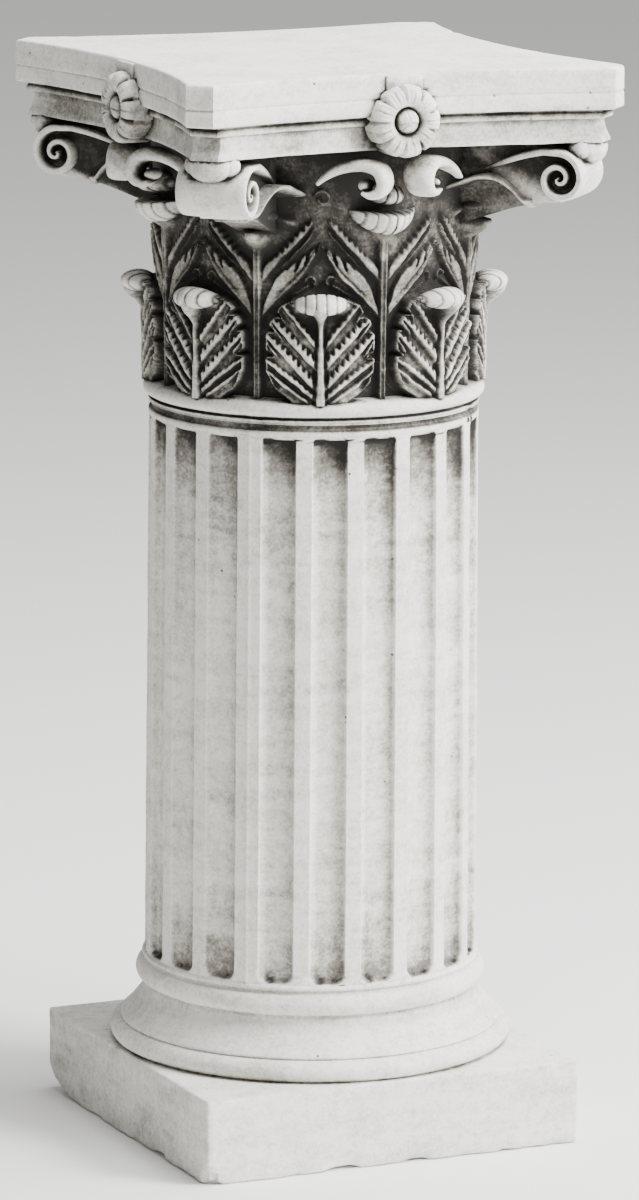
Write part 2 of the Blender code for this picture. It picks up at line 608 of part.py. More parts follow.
def cast_stone():
    """Off-white cast stone, matt."""
    material = bpy.data.materials.new("cast_stone")
    material.use_nodes = True
    shader = material.node_tree.nodes["Principled BSDF"]
    shader.inputs["Base Color"].default_value = STONE_COLOUR
    shader.inputs["Roughness"].default_value = STONE_ROUGHNESS
    shader.inputs["Metallic"].default_value = 0.0
    return material


def plinth_mesh():
    """The square plinth, which the rest of the casting is joined to."""
    bm = bmesh.new()
    bmesh.ops.create_cube(bm, size=1.0)
    bmesh.ops.scale(bm, vec=(PLINTH_SIDE, PLINTH_SIDE, PLINTH_HEIGHT), verts=bm.verts)
    bmesh.ops.translate(bm, vec=(0.0, 0.0, PLINTH_HEIGHT / 2), verts=bm.verts)
    mesh = bpy.data.meshes.new("garden_column")
    bm.to_mesh(mesh)
    bm.free()
    return mesh


def build():
    clear_scene()
    shown = new_collection("garden_column")
    forms = new_collection("garden_column_forms")
    cuts = new_collection("garden_column_losses")
    base_mouldings(forms)
    fluted_shaft(forms)
    neck_mouldings(forms)
    capital_core(forms)
    leaf_tips(forms)
    corner_volutes(forms)
    face_helices(forms)
    abacus(forms)
    rosettes(forms)
    lost_corner(cuts)
    chips(cuts)

    column = bpy.data.objects.new("garden_column", plinth_mesh())
    column.data.materials.append(cast_stone())
    shown.objects.link(column)
    edge = column.modifiers.new("soft_edges", "BEVEL")
    edge.width = PLINTH_EDGE
    edge.segments = 1
    join = column.modifiers.new("one_casting", "BOOLEAN")
    join.operation = "UNION"
    join.operand_type = "COLLECTION"
    join.collection = forms
    lose = column.modifiers.new("losses", "BOOLEAN")
    lose.operation = "DIFFERENCE"
    lose.operand_type = "COLLECTION"
    lose.collection = cuts
    flats = column.modifiers.new("plain_flats", "DECIMATE")
    flats.decimate_type = "DISSOLVE"
    flats.angle_limit = FLAT_WITHIN
    slivers = column.modifiers.new("fewer_slivers", "DECIMATE")
    slivers.decimate_type = "COLLAPSE"
    slivers.ratio = KEPT_SHARE
    column.data.shade_smooth()


build()
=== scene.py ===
"""Garden column: the carved surface, the aged cast stone, the studio floor, light and camera.

Metres, +Z up, in the part's own frame: the plinth's underside is centred on the origin, and
the photo looks at the corner between -X and -Y. Sizes with MM after them are in millimetres.
"""
import math

import bmesh
import bpy
from mathutils import Matrix, Vector, noise
from mathutils.bvhtree import BVHTree
from mathutils.kdtree import KDTree


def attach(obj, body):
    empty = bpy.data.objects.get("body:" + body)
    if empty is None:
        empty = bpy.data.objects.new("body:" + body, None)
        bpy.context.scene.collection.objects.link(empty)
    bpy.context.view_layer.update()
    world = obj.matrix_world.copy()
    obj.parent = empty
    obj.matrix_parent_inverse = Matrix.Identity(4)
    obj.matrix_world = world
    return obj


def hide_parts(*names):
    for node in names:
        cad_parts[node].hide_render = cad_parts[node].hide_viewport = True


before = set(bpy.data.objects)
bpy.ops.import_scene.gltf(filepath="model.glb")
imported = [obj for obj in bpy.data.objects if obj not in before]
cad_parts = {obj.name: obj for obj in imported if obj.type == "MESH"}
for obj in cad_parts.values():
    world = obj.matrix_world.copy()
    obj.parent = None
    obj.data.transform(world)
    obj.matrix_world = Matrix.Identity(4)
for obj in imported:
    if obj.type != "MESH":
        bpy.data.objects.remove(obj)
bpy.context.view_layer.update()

# Levels up the column
PLINTH_SIDE = 0.300
PLINTH_TOP = 0.063
TORUS_TOP = 0.080
FLARE_TOP = 0.107
BEAD_TOP = 0.124
FLUTE_FOOT = 0.130
FLUTE_TOP = 0.535
NECK_BAND_TOP = 0.539
NECK_HOLLOW_TOP = 0.5445
NECK_FILLET_TOP = 0.549
CAPITAL_FOOT = 0.561
LEAF_FOOT = 0.563
LEAF_SPLIT = 0.641
ABACUS_FOOT = 0.745
SLAB_FOOT = 0.769
TOP = 0.800

# Radii and widths
TORUS_RADIUS = 0.1495
ARRIS_RADIUS = 0.1415
BEAD_RADIUS = 0.1305
SHAFT_FOOT_RADIUS = 0.124
SHAFT_HEAD_RADIUS = 0.1215
ASTRAGAL_RADIUS = 0.1258
BELL_FOOT_RADIUS = 0.1125
BELL_HEAD_RADIUS = 0.121
ABACUS_HALF = 0.172
ABACUS_CORNER_CUT = 0.0145
ABACUS_HOLLOW = 0.022
FLARE_RADIUS = 0.1242
PLINTH_EDGE = 0.0022

# Half width and half height of the rounded mouldings
TORUS_ROUND = (0.0095, 0.0082)
BEAD_ROUND = (0.0072, 0.0080)
ASTRAGAL_ROUND = (0.0075, 0.0060)

# How far one piece runs on into the next, and how far the worn surface lies inside the solid
LAP = 0.002
CAST_INSET = 0.0003

# The flutes lie in two halves, as the two halves of the mould did
FLUTES_PER_HALF = 10
FLUTE_WIDTH = 0.0268
FLUTE_DEPTH = 0.0055
SEAM_WIDTH = 0.0184
SEAM_ANGLE = math.radians(43.0)
SEAM_LINE = 0.0011
# Points across a flute and across a seam's fillet, and up from a flute's end
FLUTE_SHARES = (0.0, 0.03, 0.07, 0.13, 0.22, 0.35, 0.5, 0.65, 0.78, 0.87, 0.93, 0.97, 1.0)
SEAM_SHARES = (-0.35, -0.12, -0.06, 0.0, 0.06, 0.12, 0.35)
FLUTE_END_STEPS = (0.0, 0.0008, 0.0018, 0.003, 0.0045, 0.0065, 0.009, 0.012, 0.017, 0.024,
                   0.033, 0.044)

# The capital is the same eight times over, from the middle of a side to a corner
SECTOR = math.pi / 4
LEAF_ARC_RADIUS_MM = 119.0
SECTOR_MM = SECTOR * LEAF_ARC_RADIUS_MM
FACE_ANGLES = [math.radians(90 * side) for side in range(4)]
CORNER_ANGLES = [math.radians(45 + 90 * side) for side in range(4)]
LOWER_LEAF_ANGLES = [SECTOR / 2 + SECTOR * index for index in range(8)]

# Points closer than this are joined, and only points further out than this are moved
MERGE = 0.00001
AXIS_CLEAR = 0.1
# An angle that leaves every edge of a piece smooth
ALL_SMOOTH = 180.0


def blend(low, high, share):
    return low + (high - low) * share


def smooth(low, high, value):
    """0 at low and 1 at high, with a soft step between, also where high is the lower of the two."""
    share = min(1.0, max(0.0, (value - low) / (high - low)))
    return share * share * (3.0 - 2.0 * share)


def hump(distance, width):
    return math.exp(-(distance / width) ** 2)


def face_frame(angle, out, height):
    """Place of a piece on a side or corner: its Z looks outwards and its Y is up."""
    outward = Vector((math.cos(angle), math.sin(angle), 0.0))
    across = Vector((0.0, 0.0, 1.0)).cross(outward)
    place = Matrix((across, Vector((0.0, 0.0, 1.0)), outward)).transposed().to_4x4()
    place.translation = outward * out + Vector((0.0, 0.0, height))
    return place


def arc(centre, radii, start, end, steps):
    """Points along part of an ellipse, angles in degrees."""
    angles = [math.radians(blend(start, end, step / steps)) for step in range(steps + 1)]
    return [(centre[0] + radii[0] * math.cos(angle), centre[1] + radii[1] * math.sin(angle))
            for angle in angles]


def curve_through(points, steps):
    """A smooth run of points through the given ones, the same number of steps between each two."""
    ends = [Vector(point) for point in points]
    ends = [ends[0] * 2 - ends[1]] + ends + [ends[-1] * 2 - ends[-2]]
    run = []
    for before, start, end, after in zip(ends, ends[1:], ends[2:], ends[3:]):
        for step in range(steps):
            t = step / steps
            pull = (end - before) * t + (before * 2 - start * 5 + end * 4 - after) * t * t
            run.append(start + (pull + (start * 3 - before - end * 3 + after) * t ** 3) / 2)
    run.append(ends[-2])
    return run


def normals_along(run):
    """The direction to the left of a flat run of points, at each of them."""
    normals = []
    for index in range(len(run)):
        ahead = run[min(index + 1, len(run) - 1)] - run[max(index - 1, 0)]
        normals.append(Vector((-ahead.y, ahead.x)).normalized())
    return normals


def skin_rings(bm, rings):
    """Skin a row of closed rings and close both ends."""
    loops = []
    for ring in rings:
        verts = [bm.verts.new(point) for point in ring]
        loops.append([bm.edges.new((verts[i - 1], verts[i])) for i in range(len(verts))])
    for first, second in zip(loops, loops[1:]):
        bmesh.ops.bridge_loops(bm, edges=first + second)
    bmesh.ops.holes_fill(bm, edges=loops[0] + loops[-1], sides=0)


def round_section(half_wide, half_tall, squareness, count):
    """A rounded rectangle, from an ellipse at squareness 1 towards a box at 0."""
    points = []
    for index in range(count):
        turn = math.tau * (index + 0.5) / count
        x, y = math.cos(turn), math.sin(turn)
        points.append((math.copysign(abs(x) ** squareness, x) * half_wide,
                       math.copysign(abs(y) ** squareness, y) * half_tall))
    return points


def fill_holes(bm):
    bmesh.ops.holes_fill(bm, edges=[edge for edge in bm.edges if edge.is_boundary], sides=0)


def turned(bm, profile, segments):
    """Turn a profile of radius and height round the axis."""
    verts = [bm.verts.new((radius, 0.0, height)) for radius, height in profile]
    edges = [bm.edges.new(pair) for pair in zip(verts, verts[1:])]
    bmesh.ops.spin(bm, geom=verts + edges, cent=(0, 0, 0), axis=(0, 0, 1), dvec=(0, 0, 0),
                   angle=math.tau, steps=segments, use_merge=True, use_duplicate=False)
    bmesh.ops.remove_doubles(bm, verts=bm.verts, dist=MERGE)


def copy_round(bm, count):
    """Repeat what is in the bmesh round the axis, count times in all."""
    geometry = bm.verts[:] + bm.edges[:] + bm.faces[:]
    bmesh.ops.spin(bm, geom=geometry, cent=(0, 0, 0), axis=(0, 0, 1), dvec=(0, 0, 0),
                   angle=math.tau * (count - 1) / count, steps=count - 1, use_merge=False,
                   use_duplicate=True)


def mirror_across(bm, axis):
    bmesh.ops.mirror(bm, geom=bm.verts[:] + bm.edges[:] + bm.faces[:], matrix=Matrix(),
                     merge_dist=MERGE, axis=axis)


def add_object(name, data):
    """A new object in the scene."""
    added = bpy.data.objects.new(name, data)
    bpy.context.scene.collection.objects.link(added)
    return added


def make_piece(name, bm, sharp_degrees):
    """Turn a bmesh into a piece that stands for the casting."""
    bmesh.ops.recalc_face_normals(bm, faces=bm.faces)
    mesh = bpy.data.meshes.new(name)
    bm.to_mesh(mesh)
    bm.free()
    mesh.shade_smooth()
    mesh.set_sharp_from_angle(angle=math.radians(sharp_degrees))
    piece = add_object(name, mesh)
    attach(piece, "root")
    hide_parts("garden_column")
    return piece


# Plinth and mouldings

def wander(point, size_mm, seed):
    """A slow, even wander between -1 and 1, for the unevenness of a hand-filled mould."""
    return noise.noise(Vector(point) * (1000.0 / size_mm) + Vector((seed, seed * 1.7, seed * 0.6)))


def wander_above(point, size_mm, seed):
    """The same wander, between 0 and 1."""
    return 0.5 + 0.5 * wander(point, size_mm, seed)


def push_out(bm, amount):
    """Move the outer points away from the axis, each by the amount that a function gives."""
    for vert in bm.verts:
        radius = math.hypot(vert.co.x, vert.co.y)
        if radius > AXIS_CLEAR:
            push = amount(vert.co)
            vert.co.x += vert.co.x / radius * push
            vert.co.y += vert.co.y / radius * push


LOST_CORNER = Vector((-PLINTH_SIDE / 2, PLINTH_SIDE / 2, 0.0))
# Planes that round the lost corner off: distance from the corner along each edge, in metres
LOSSES = ((0.040, 0.040, 0.0155), (0.052, 0.030, 0.012), (0.030, 0.050, 0.012),
          (0.026, 0.026, 0.0215))
# Chips off the plinth's edges: centre, reach and depth
CHIPS = (((0.137, -0.150, 0.063), 0.010, 0.0040), ((-0.150, -0.150, 0.0), 0.013, 0.0060),
         ((-0.040, -0.150, 0.0), 0.016, 0.0030), ((0.020, -0.150, 0.0), 0.012, 0.0024),
         ((-0.150, -0.060, 0.0), 0.014, 0.0026), ((-0.150, 0.02, 0.063), 0.008, 0.0016),
         ((0.150, 0.055, 0.063), 0.009, 0.0022), ((0.06, 0.150, 0.0), 0.015, 0.0030))


def without_corner(point):
    """The point moved onto the planes that round the lost corner off."""
    for along_x, along_y, up in LOSSES:
        normal = Vector((-1 / along_x, 1 / along_y, -1 / up))
        over = (point - LOST_CORNER).dot(normal) + 1.0
        if over > 0.0:
            rough = 1.0 + 0.05 * wander(point, 9, 3.0)
            point -= normal * (over / normal.length_squared) * rough
    return point


def chipped_plinth(point):
    """The point pressed inwards where a chip is missing from an edge."""
    half = PLINTH_SIDE / 2
    for centre, reach, depth in CHIPS:
        near = (Vector(centre) - point).length
        bite = smooth(reach, reach * 0.45, near * (1.0 + 0.35 * wander(point, 5, 8.0)))
        inward = Vector((-centre[0] if abs(centre[0]) > half - 0.001 else 0.0,
                         -centre[1] if abs(centre[1]) > half - 0.001 else 0.0,
                         half if centre[2] < 0.001 else -half)).normalized()
        point += inward * depth * bite
    return point


def worn_plinth(point):
    """The point set in by wear, and raised where the plinth's foot is uneven."""
    half = PLINTH_SIDE / 2
    inside = 0.0005 * wander_above(point, 34, 1.0) + 0.0003 * wander_above(point, 9, 2.0)
    inside += 0.0016 * smooth(0.014, 0.0, point.z) * max(0.0, wander(point, 13, 9.0) + 0.3)
    if abs(point.x) > half * 0.97:
        point.x -= math.copysign(inside, point.x)
    if abs(point.y) > half * 0.97:
        point.y -= math.copysign(inside, point.y)
    if point.z < 0.004 and max(abs(point.x), abs(point.y)) > half * 0.98:
        lift = 0.0026 * max(0.0, wander(point, 30, 5.0))
        lift += 0.0020 * max(0.0, wander(point, 9, 6.0))
        point.z += lift
    return point


def plinth():
    """The square plinth: soft edges, an uneven foot, a lost corner and chips."""
    bm = bmesh.new()
    bmesh.ops.create_cube(bm, size=1.0)
    bmesh.ops.scale(bm, vec=(PLINTH_SIDE, PLINTH_SIDE, PLINTH_TOP), verts=bm.verts)
    bmesh.ops.translate(bm, vec=(0.0, 0.0, PLINTH_TOP / 2), verts=bm.verts)
    bmesh.ops.bevel(bm, geom=bm.edges[:], offset=PLINTH_EDGE, segments=3, profile=0.5,
                    affect="EDGES", material=-1)
    level = [e for e in bm.edges if e.calc_length() > PLINTH_SIDE * 0.9]
    bmesh.ops.subdivide_edges(bm, edges=level, cuts=74, use_grid_fill=True)
    upright = [e for e in bm.edges if abs(e.verts[0].co.z - e.verts[1].co.z) > PLINTH_TOP * 0.8]
    bmesh.ops.subdivide_edges(bm, edges=upright, cuts=15, use_grid_fill=True)
    for vert in bm.verts:
        vert.co = worn_plinth(chipped_plinth(without_corner(vert.co.copy())))
    return make_piece("plinth", bm, 60.0)


def base_mouldings():
    """Torus, flared hollow, bead and lip, from the plinth to the foot of the flutes."""
    foot = SHAFT_FOOT_RADIUS
    profile = [(foot - 2 * LAP, FLUTE_FOOT + LAP), (foot + 0.0002, FLUTE_FOOT + 0.0005)]
    profile += arc((foot + 0.0004, FLUTE_FOOT - 0.0016), (0.0014, 0.0016), 80, -80, 5)
    profile += [(foot - 0.0006, FLUTE_FOOT - 0.0037), (foot - 0.0004, FLUTE_FOOT - 0.0045)]
    bead_middle = blend(FLARE_TOP, BEAD_TOP, 0.5) + 0.0006
    profile += arc((BEAD_RADIUS - BEAD_ROUND[0], bead_middle), BEAD_ROUND, 78, -74, 12)
    profile += [(FLARE_RADIUS, FLARE_TOP + 0.0008), (FLARE_RADIUS - 0.0002, FLARE_TOP - 0.0004)]
    for step in range(1, 13):
        share = step / 12
        radius = blend(FLARE_RADIUS, ARRIS_RADIUS, share ** 1.55)
        profile.append((radius, blend(FLARE_TOP - 0.0006, TORUS_TOP + 0.0018, share)))
    profile += [(ARRIS_RADIUS + 0.0004, TORUS_TOP + 0.0010)]
    profile += [(ARRIS_RADIUS + 0.0002, TORUS_TOP + 0.0003)]
    profile += [(ARRIS_RADIUS - 0.0012, TORUS_TOP - 0.0004)]
    torus_middle = blend(PLINTH_TOP, TORUS_TOP, 0.5) - 0.0006
    profile += arc((TORUS_RADIUS - TORUS_ROUND[0], torus_middle), TORUS_ROUND, 76, -62, 14)
    profile += [(TORUS_RADIUS - 0.010, PLINTH_TOP - 0.0005)]
    profile += [(TORUS_RADIUS - 0.0125, PLINTH_TOP - 0.003)]
    bm = bmesh.new()
    turned(bm, profile, 144)
    fill_holes(bm)
    push_out(bm, lambda point: 0.00035 * wander(point, 22, 4.0) - CAST_INSET)
    return make_piece("base_mouldings", bm, 70.0)


def seam_away(angle):
    """How far an angle is past the nearer of the two seams, below nought before it."""
    return (angle - SEAM_ANGLE + math.pi / 2) % math.pi - math.pi / 2


def seam_bump(angle):
    """Height of the flash line that the mould left down both sides, as a share."""
    return hump(seam_away(angle) * SHAFT_FOOT_RADIUS, SEAM_LINE)


def neck_unevenness(point):
    """How far the neck stands out: its wander, the flash line and the small step beside it."""
    angle = math.atan2(point.y, point.x)
    away = seam_away(angle)
    step = 0.0006 * smooth(0.0, 0.012, away) * smooth(0.16, 0.05, away)
    return 0.0003 * wander(point, 20, 7.0) + 0.0008 * seam_bump(angle) + step - CAST_INSET


def neck_mouldings():
    """Band, hollow, fillet and astragal between the flutes and the leaves."""
    head = SHAFT_HEAD_RADIUS
    profile = [(BELL_FOOT_RADIUS - 2 * LAP, CAPITAL_FOOT + LAP)]
    profile += [(BELL_FOOT_RADIUS + 0.0055, CAPITAL_FOOT + 0.0006)]
    astragal_middle = blend(NECK_FILLET_TOP, CAPITAL_FOOT, 0.5)
    profile += arc((ASTRAGAL_RADIUS - ASTRAGAL_ROUND[0], astragal_middle), ASTRAGAL_ROUND,
                   80, -74, 14)
    profile += [(head - 0.0018, NECK_FILLET_TOP - 0.0003)]
    profile += [(head - 0.0016, NECK_FILLET_TOP - 0.0010)]
    profile += arc((head - 0.0009, NECK_FILLET_TOP - 0.0023), (0.0013, 0.0012), 75, -75, 4)
    hollow_middle = blend(NECK_BAND_TOP, NECK_HOLLOW_TOP, 0.5)
    profile += arc((head + 0.0004, hollow_middle), (0.0030, 0.0025), 100, 250, 8)
    profile += [(head + 0.0002, NECK_BAND_TOP - 0.0002), (head + 0.0003, NECK_BAND_TOP - 0.002)]
    profile += [(head, FLUTE_TOP), (head - LAP, FLUTE_TOP - LAP)]
    bm = bmesh.new()
    turned(bm, profile, 240)
    fill_holes(bm)
    push_out(bm, neck_unevenness)
    return make_piece("neck_mouldings", bm, 70.0)


def flute_places():
    """Angles round the shaft, each with its share across a flute, or None on a fillet."""
    flute = FLUTE_WIDTH / SHAFT_FOOT_RADIUS
    seam = SEAM_WIDTH / SHAFT_FOOT_RADIUS
    fillet = (math.pi - seam - FLUTES_PER_HALF * flute) / (FLUTES_PER_HALF - 1)
    places = []
    for half in range(2):
        start = SEAM_ANGLE + math.pi * half + seam / 2
        for index in range(FLUTES_PER_HALF):
            first = start + index * (flute + fillet)
            places += [(first + share * flute, share) for share in FLUTE_SHARES]
            if index < FLUTES_PER_HALF - 1:
                places.append((first + flute + fillet / 2, None))
        for share in SEAM_SHARES:
            places.append((SEAM_ANGLE + math.pi * (half + 1) + share * seam, None))
    return places


def shaft_levels():
    """Heights up the shaft, closer together at the flutes' ends."""
    end = FLUTE_END_STEPS[-1]
    levels = [FLUTE_FOOT - LAP, FLUTE_FOOT - 0.0005]
    levels += [FLUTE_FOOT + step for step in FLUTE_END_STEPS]
    levels += [blend(FLUTE_FOOT + end, FLUTE_TOP - end, step / 30) for step in range(1, 30)]
    levels += [FLUTE_TOP - step for step in reversed(FLUTE_END_STEPS)]
    return levels + [FLUTE_TOP + LAP]


def flute_cut(share, height):
    """How deep a flute is cut, from 0 to 1: square at its head and rounded at its foot."""
    if share is None:
        return 0.0
    up = height - FLUTE_FOOT
    down = FLUTE_TOP - height
    side = abs(2 * share - 1)
    narrow = 1.0 - 0.55 * max(0.0, 1.0 - up / 0.008) ** 2
    narrow -= 0.20 * max(0.0, 1.0 - down / 0.004) ** 2
    across = max(0.0, 1.0 - (side / narrow) ** 3.2) ** 0.75
    return across * smooth(0.0, 0.0034, up) * smooth(0.0, 0.0024, down)


def fluted_shaft():
    """The tapered shaft with its flutes, and the flash line on the two wide fillets."""
    places = flute_places()
    levels = shaft_levels()
    bm = bmesh.new()
    bmesh.ops.create_grid(bm, x_segments=len(places), y_segments=len(levels) - 1, size=0.5)
    for vert in bm.verts:
        column = round((vert.co.x + 0.5) * len(places)) % len(places)
        height = levels[round((vert.co.y + 0.5) * (len(levels) - 1))]
        angle, share = places[column]
        up = (height - FLUTE_FOOT) / (FLUTE_TOP - FLUTE_FOOT)
        radius = blend(SHAFT_FOOT_RADIUS, SHAFT_HEAD_RADIUS, up)
        radius -= FLUTE_DEPTH * flute_cut(share, height)
        point = (radius * math.cos(angle), radius * math.sin(angle), height)
        radius += 0.0003 * wander(point, 26, 9.0) - CAST_INSET
        if share is None:
            radius += 0.0007 * seam_bump(angle)
        vert.co = (radius * math.cos(angle), radius * math.sin(angle), height)
    bmesh.ops.remove_doubles(bm, verts=bm.verts, dist=MERGE)
    fill_holes(bm)
    return make_piece("fluted_shaft", bm, 60.0)


# The leaves of the capital, as relief on the bell, in millimetres

# Half width of a lower leaf against height, and heights of the notches between its lobes
LEAF_EDGE = ((-2, 22), (0, 25), (5, 31.5), (12, 36.5), (20, 39.5), (30, 40.5), (40, 40.5),
             (48, 39.5), (56, 37), (62, 33), (68, 29), (71, 22), (73, 0), (80, -40))
LEAF_NOTCHES = (31.5, 50.5, 62.5)
# Half width of its middle rib against height
LEAF_RIB = ((0, 3.0), (20, 2.2), (40, 1.6), (54, 1.5), (58, 2.3), (62, 4.6), (66, 9.0), (80, 18.0))
# Ridges of its lobes: start height, slope, bend, half width, saw of the upper side, then the
# first and last place across
LEAF_RIDGES = ((-2.6, 0.93, -0.0035, 1.7, 0.30, 3.0, 38.5), (-7.0, 0.62, 0.003, 1.2, 0.0, 8.0, 38.0),
               (5.5, 1.12, -0.001, 2.3, 0.55, 2.5, 38.5), (-8.5, 1.22, 0.003, 1.1, 0.0, 30.0, 38.5),
               (20.5, 1.20, -0.003, 2.4, 0.55, 2.5, 35.5), (8.0, 1.25, 0.003, 1.1, 0.0, 27.0, 36.5),
               (34.0, 1.45, -0.005, 1.5, 0.35, 2.5, 29.5), (22.0, 1.30, 0.003, 1.0, 0.0, 24.0, 31.0))
# Edges of the two fronds beside an upper rib: place across from the rib, height
UPPER_FROND_LOW = ((0, 80), (6, 85.5), (20, 101.4), (32.5, 114.4), (38.6, 122), (42, 127))
UPPER_FROND_HIGH = ((0, 86), (3, 93), (6.7, 98), (11.7, 103), (24, 115), (32.5, 123.5),
                    (37.4, 129), (42, 130))
LOWER_FROND_LOW = ((0, 53), (8, 62.5), (20.2, 74.4), (32.5, 86.3), (38.6, 96), (47.2, 110))
LOWER_FROND_HIGH = ((0, 58), (4, 66), (8, 76), (14, 88), (24, 97), (30, 101), (37.4, 106), (47.2, 113))
# Middle of the curl at the end of a lower frond, and height of the curl beside a corner
FROND_CURL = (39.0, 84.5)
BELL_CURL_UP = 145.0


def along(table, place):
    """A value read off a table of places and values, straight between its lines."""
    if place <= table[0][0]:
        return table[0][1]
    for (first, low), (last, high) in zip(table, table[1:]):
        if place <= last:
            return blend(low, high, (place - first) / (last - first))
    return table[-1][1]


def bell_radius_mm(up):
    """Radius of the plain bell behind the leaves."""
    share = max(0.0, up + 2.0) / 184.0
    return 1000.0 * blend(BELL_FOOT_RADIUS, BELL_HEAD_RADIUS, min(1.0, share) ** 2.2)


def lower_leaf(s, t):
    """Relief of a lower leaf at s across from its middle and t above its foot."""
    a = abs(s)
    edge = along(LEAF_EDGE, t) - a
    for notch in LEAF_NOTCHES:
        edge -= 5.5 * hump(t - notch - 0.35 * (a - 36.0), 1.9)
    body = smooth(0.0, 2.4, edge)
    inner = smooth(30.0, 8.0, a)
    floor = 8.6 + 1.0 * inner - 3.4 * smooth(42.0, 56.0, t) * smooth(20.0, 8.0, a)
    crest = 12.4 + 0.8 * inner
    teeth = math.sin(math.tau * (a + 0.25 * t) / 4.6)
    ridge = 0.0
    for start, slope, bend, wide, saw, first, last in LEAF_RIDGES:
        off = t - start - slope * a - bend * a * a
        off /= math.sqrt(1.0 + (slope + 2 * bend * a) ** 2)
        half = wide * (0.55 + 0.45 * smooth(last, last - 14.0, a))
        if off > 0.0:
            half *= 1.0 + saw * teeth * smooth(last, last - 8.0, a)
        held = smooth(half + 0.75, half - 0.65, abs(off)) * smooth(first - 1.0, first + 2.0, a)
        ridge = max(ridge, held * smooth(last + 1.2, last - 0.6, a))
    rim = smooth(0.0, 1.2, edge) * smooth(3.6, 2.2, edge)
    rim *= smooth(28.0, 33.0, a + 0.2 * t) * smooth(4.0, 9.0, t)
    ridge = max(ridge, 0.85 * rim)
    relief = blend(floor, crest, ridge)
    rib_half = along(LEAF_RIB, t)
    rib = smooth(rib_half + 0.8, rib_half - 0.7, a)
    relief -= 1.9 * hump(a - rib_half - 1.5, 1.1) * (1.0 - rib)
    relief = blend(relief, 14.0, rib)
    flare = 12.5 * smooth(46.0, 64.0, t) ** 1.6 * hump(a, rib_half + 1.2)
    flare = max(flare, 12.0 * smooth(56.0, 66.0, t) ** 2 * hump(a, 15.0))
    return (relief + flare) * body


def midrib(s, t, last):
    """The doubled line of an upper leaf's middle rib, up to the level where the leaf turns out."""
    line = 1.6 * hump(abs(s) - 1.5, 0.7)
    return (4.9 * smooth(4.0, 2.4, abs(s)) + line) * smooth(last + 6.0, last - 4.0, t)


def frond_field(s, t):
    """Relief of the fronds that rise from both sides of an upper midrib, s across from it."""
    a = abs(s)
    teeth = math.sin(math.tau * (a + 0.35 * t) / 5.2)
    low = along(UPPER_FROND_LOW, a)
    high = along(UPPER_FROND_HIGH, a) + (1.5 * teeth - 0.6) * smooth(8.0, 16.0, a)
    body = smooth(0.0, 1.3, t - low) * smooth(0.0, 1.5, high - t) * smooth(41.5, 39.5, a)
    upper = (4.6 - 1.6 * hump(t - high + 1.5, 1.0)) * body
    line = 4.3 * hump(t - low + 4.6, 1.0) * smooth(14.0, 24.0, a) * smooth(43.0, 40.0, a)
    low = along(LOWER_FROND_LOW, a)
    high = along(LOWER_FROND_HIGH, a)
    notch = hump(math.sin(math.pi * (a - 0.5 * (t - low) - 4.0) / 9.5), 0.42)
    high -= 7.5 * notch * smooth(20.0, 27.0, a)
    body = smooth(0.0, 1.3, t - low) * smooth(0.0, 1.5, high - t) * smooth(47.5, 46.0, a)
    vein = 1.3 * hump(t - low - 5.6, 1.1) * smooth(8.0, 20.0, a)
    lower = (4.4 + 1.0 * hump(t - low - 2.4, 1.5) - vein) * body
    curl_across, curl_up = a - FROND_CURL[0], t - FROND_CURL[1]
    curl = math.hypot(curl_across, curl_up) - 3.6
    loop = 3.6 * hump(curl, 1.0) * smooth(-2.6, -1.2, curl_up + 0.4 * curl_across)
    stem = 3.4 * hump(t - 81.0 + 0.55 * (37.0 - a), 1.1)
    stem *= smooth(22.0, 26.0, a) * smooth(40.0, 37.0, a)
    return max(upper, line, lower, loop, stem) * smooth(1.5, 4.5, a)


def turned_out(s, t, foot, head, reach, half_wide):
    """The swelling where the end of an upper leaf bends outwards under its tip."""
    rise = smooth(foot, head, t)
    width = half_wide * (0.35 + 0.65 * rise)
    drop = smooth(head + 8.0, head + 3.0, t)
    return reach * rise ** 1.8 * hump(s, width) * drop


def ripple(across, t, size, seed):
    """A slow wander over the carved bell, with places and size in millimetres."""
    return noise.noise(Vector((across / size, t / size, seed)))


def capital_radius_mm(angle, t):
    """Radius of the carved bell at an angle from the middle of a side towards a corner."""
    to_face = angle * LEAF_ARC_RADIUS_MM
    to_corner = SECTOR_MM - to_face
    s_upper = min(to_face, to_corner)
    s_lower = SECTOR_MM / 2 - s_upper
    sway = 0.7 * ripple(to_face, t, 6.0, 3.1)
    lift = t + 0.8 * ripple(to_face, t, 8.0, 7.7)
    relief = lower_leaf(s_lower + sway * smooth(1.0, 6.0, s_lower), lift)
    upper = s_upper + sway * smooth(1.0, 6.0, s_upper)
    behind = max(midrib(s_upper, t, 124.0), frond_field(upper, lift))
    behind = max(behind, turned_out(to_face, t, 104.0, 126.0, 22.0, 9.0))
    behind = max(behind, turned_out(to_corner, t, 96.0, 118.0, 20.0, 9.0))
    hood = 5.0 * hump(t - 132.0 + 0.30 * abs(to_corner - 10.0), 3.0)
    hood *= smooth(34.0, 22.0, to_corner)
    curl_across, curl_up = to_corner - SECTOR_MM / 2 - 1.0, t - BELL_CURL_UP
    curl = math.hypot(curl_across, curl_up) - 4.6 - 0.5 * math.atan2(curl_up, curl_across)
    ring = 3.0 * hump(curl, 1.2)
    relief = max(relief, behind, hood, ring)
    rough = 0.35 * ripple(to_face, t, 3.0, 1.3) * smooth(1.0, 4.0, relief)
    return bell_radius_mm(t) + relief * (1.0 + 0.06 * ripple(to_face, t, 5.0, 5.5)) + rough


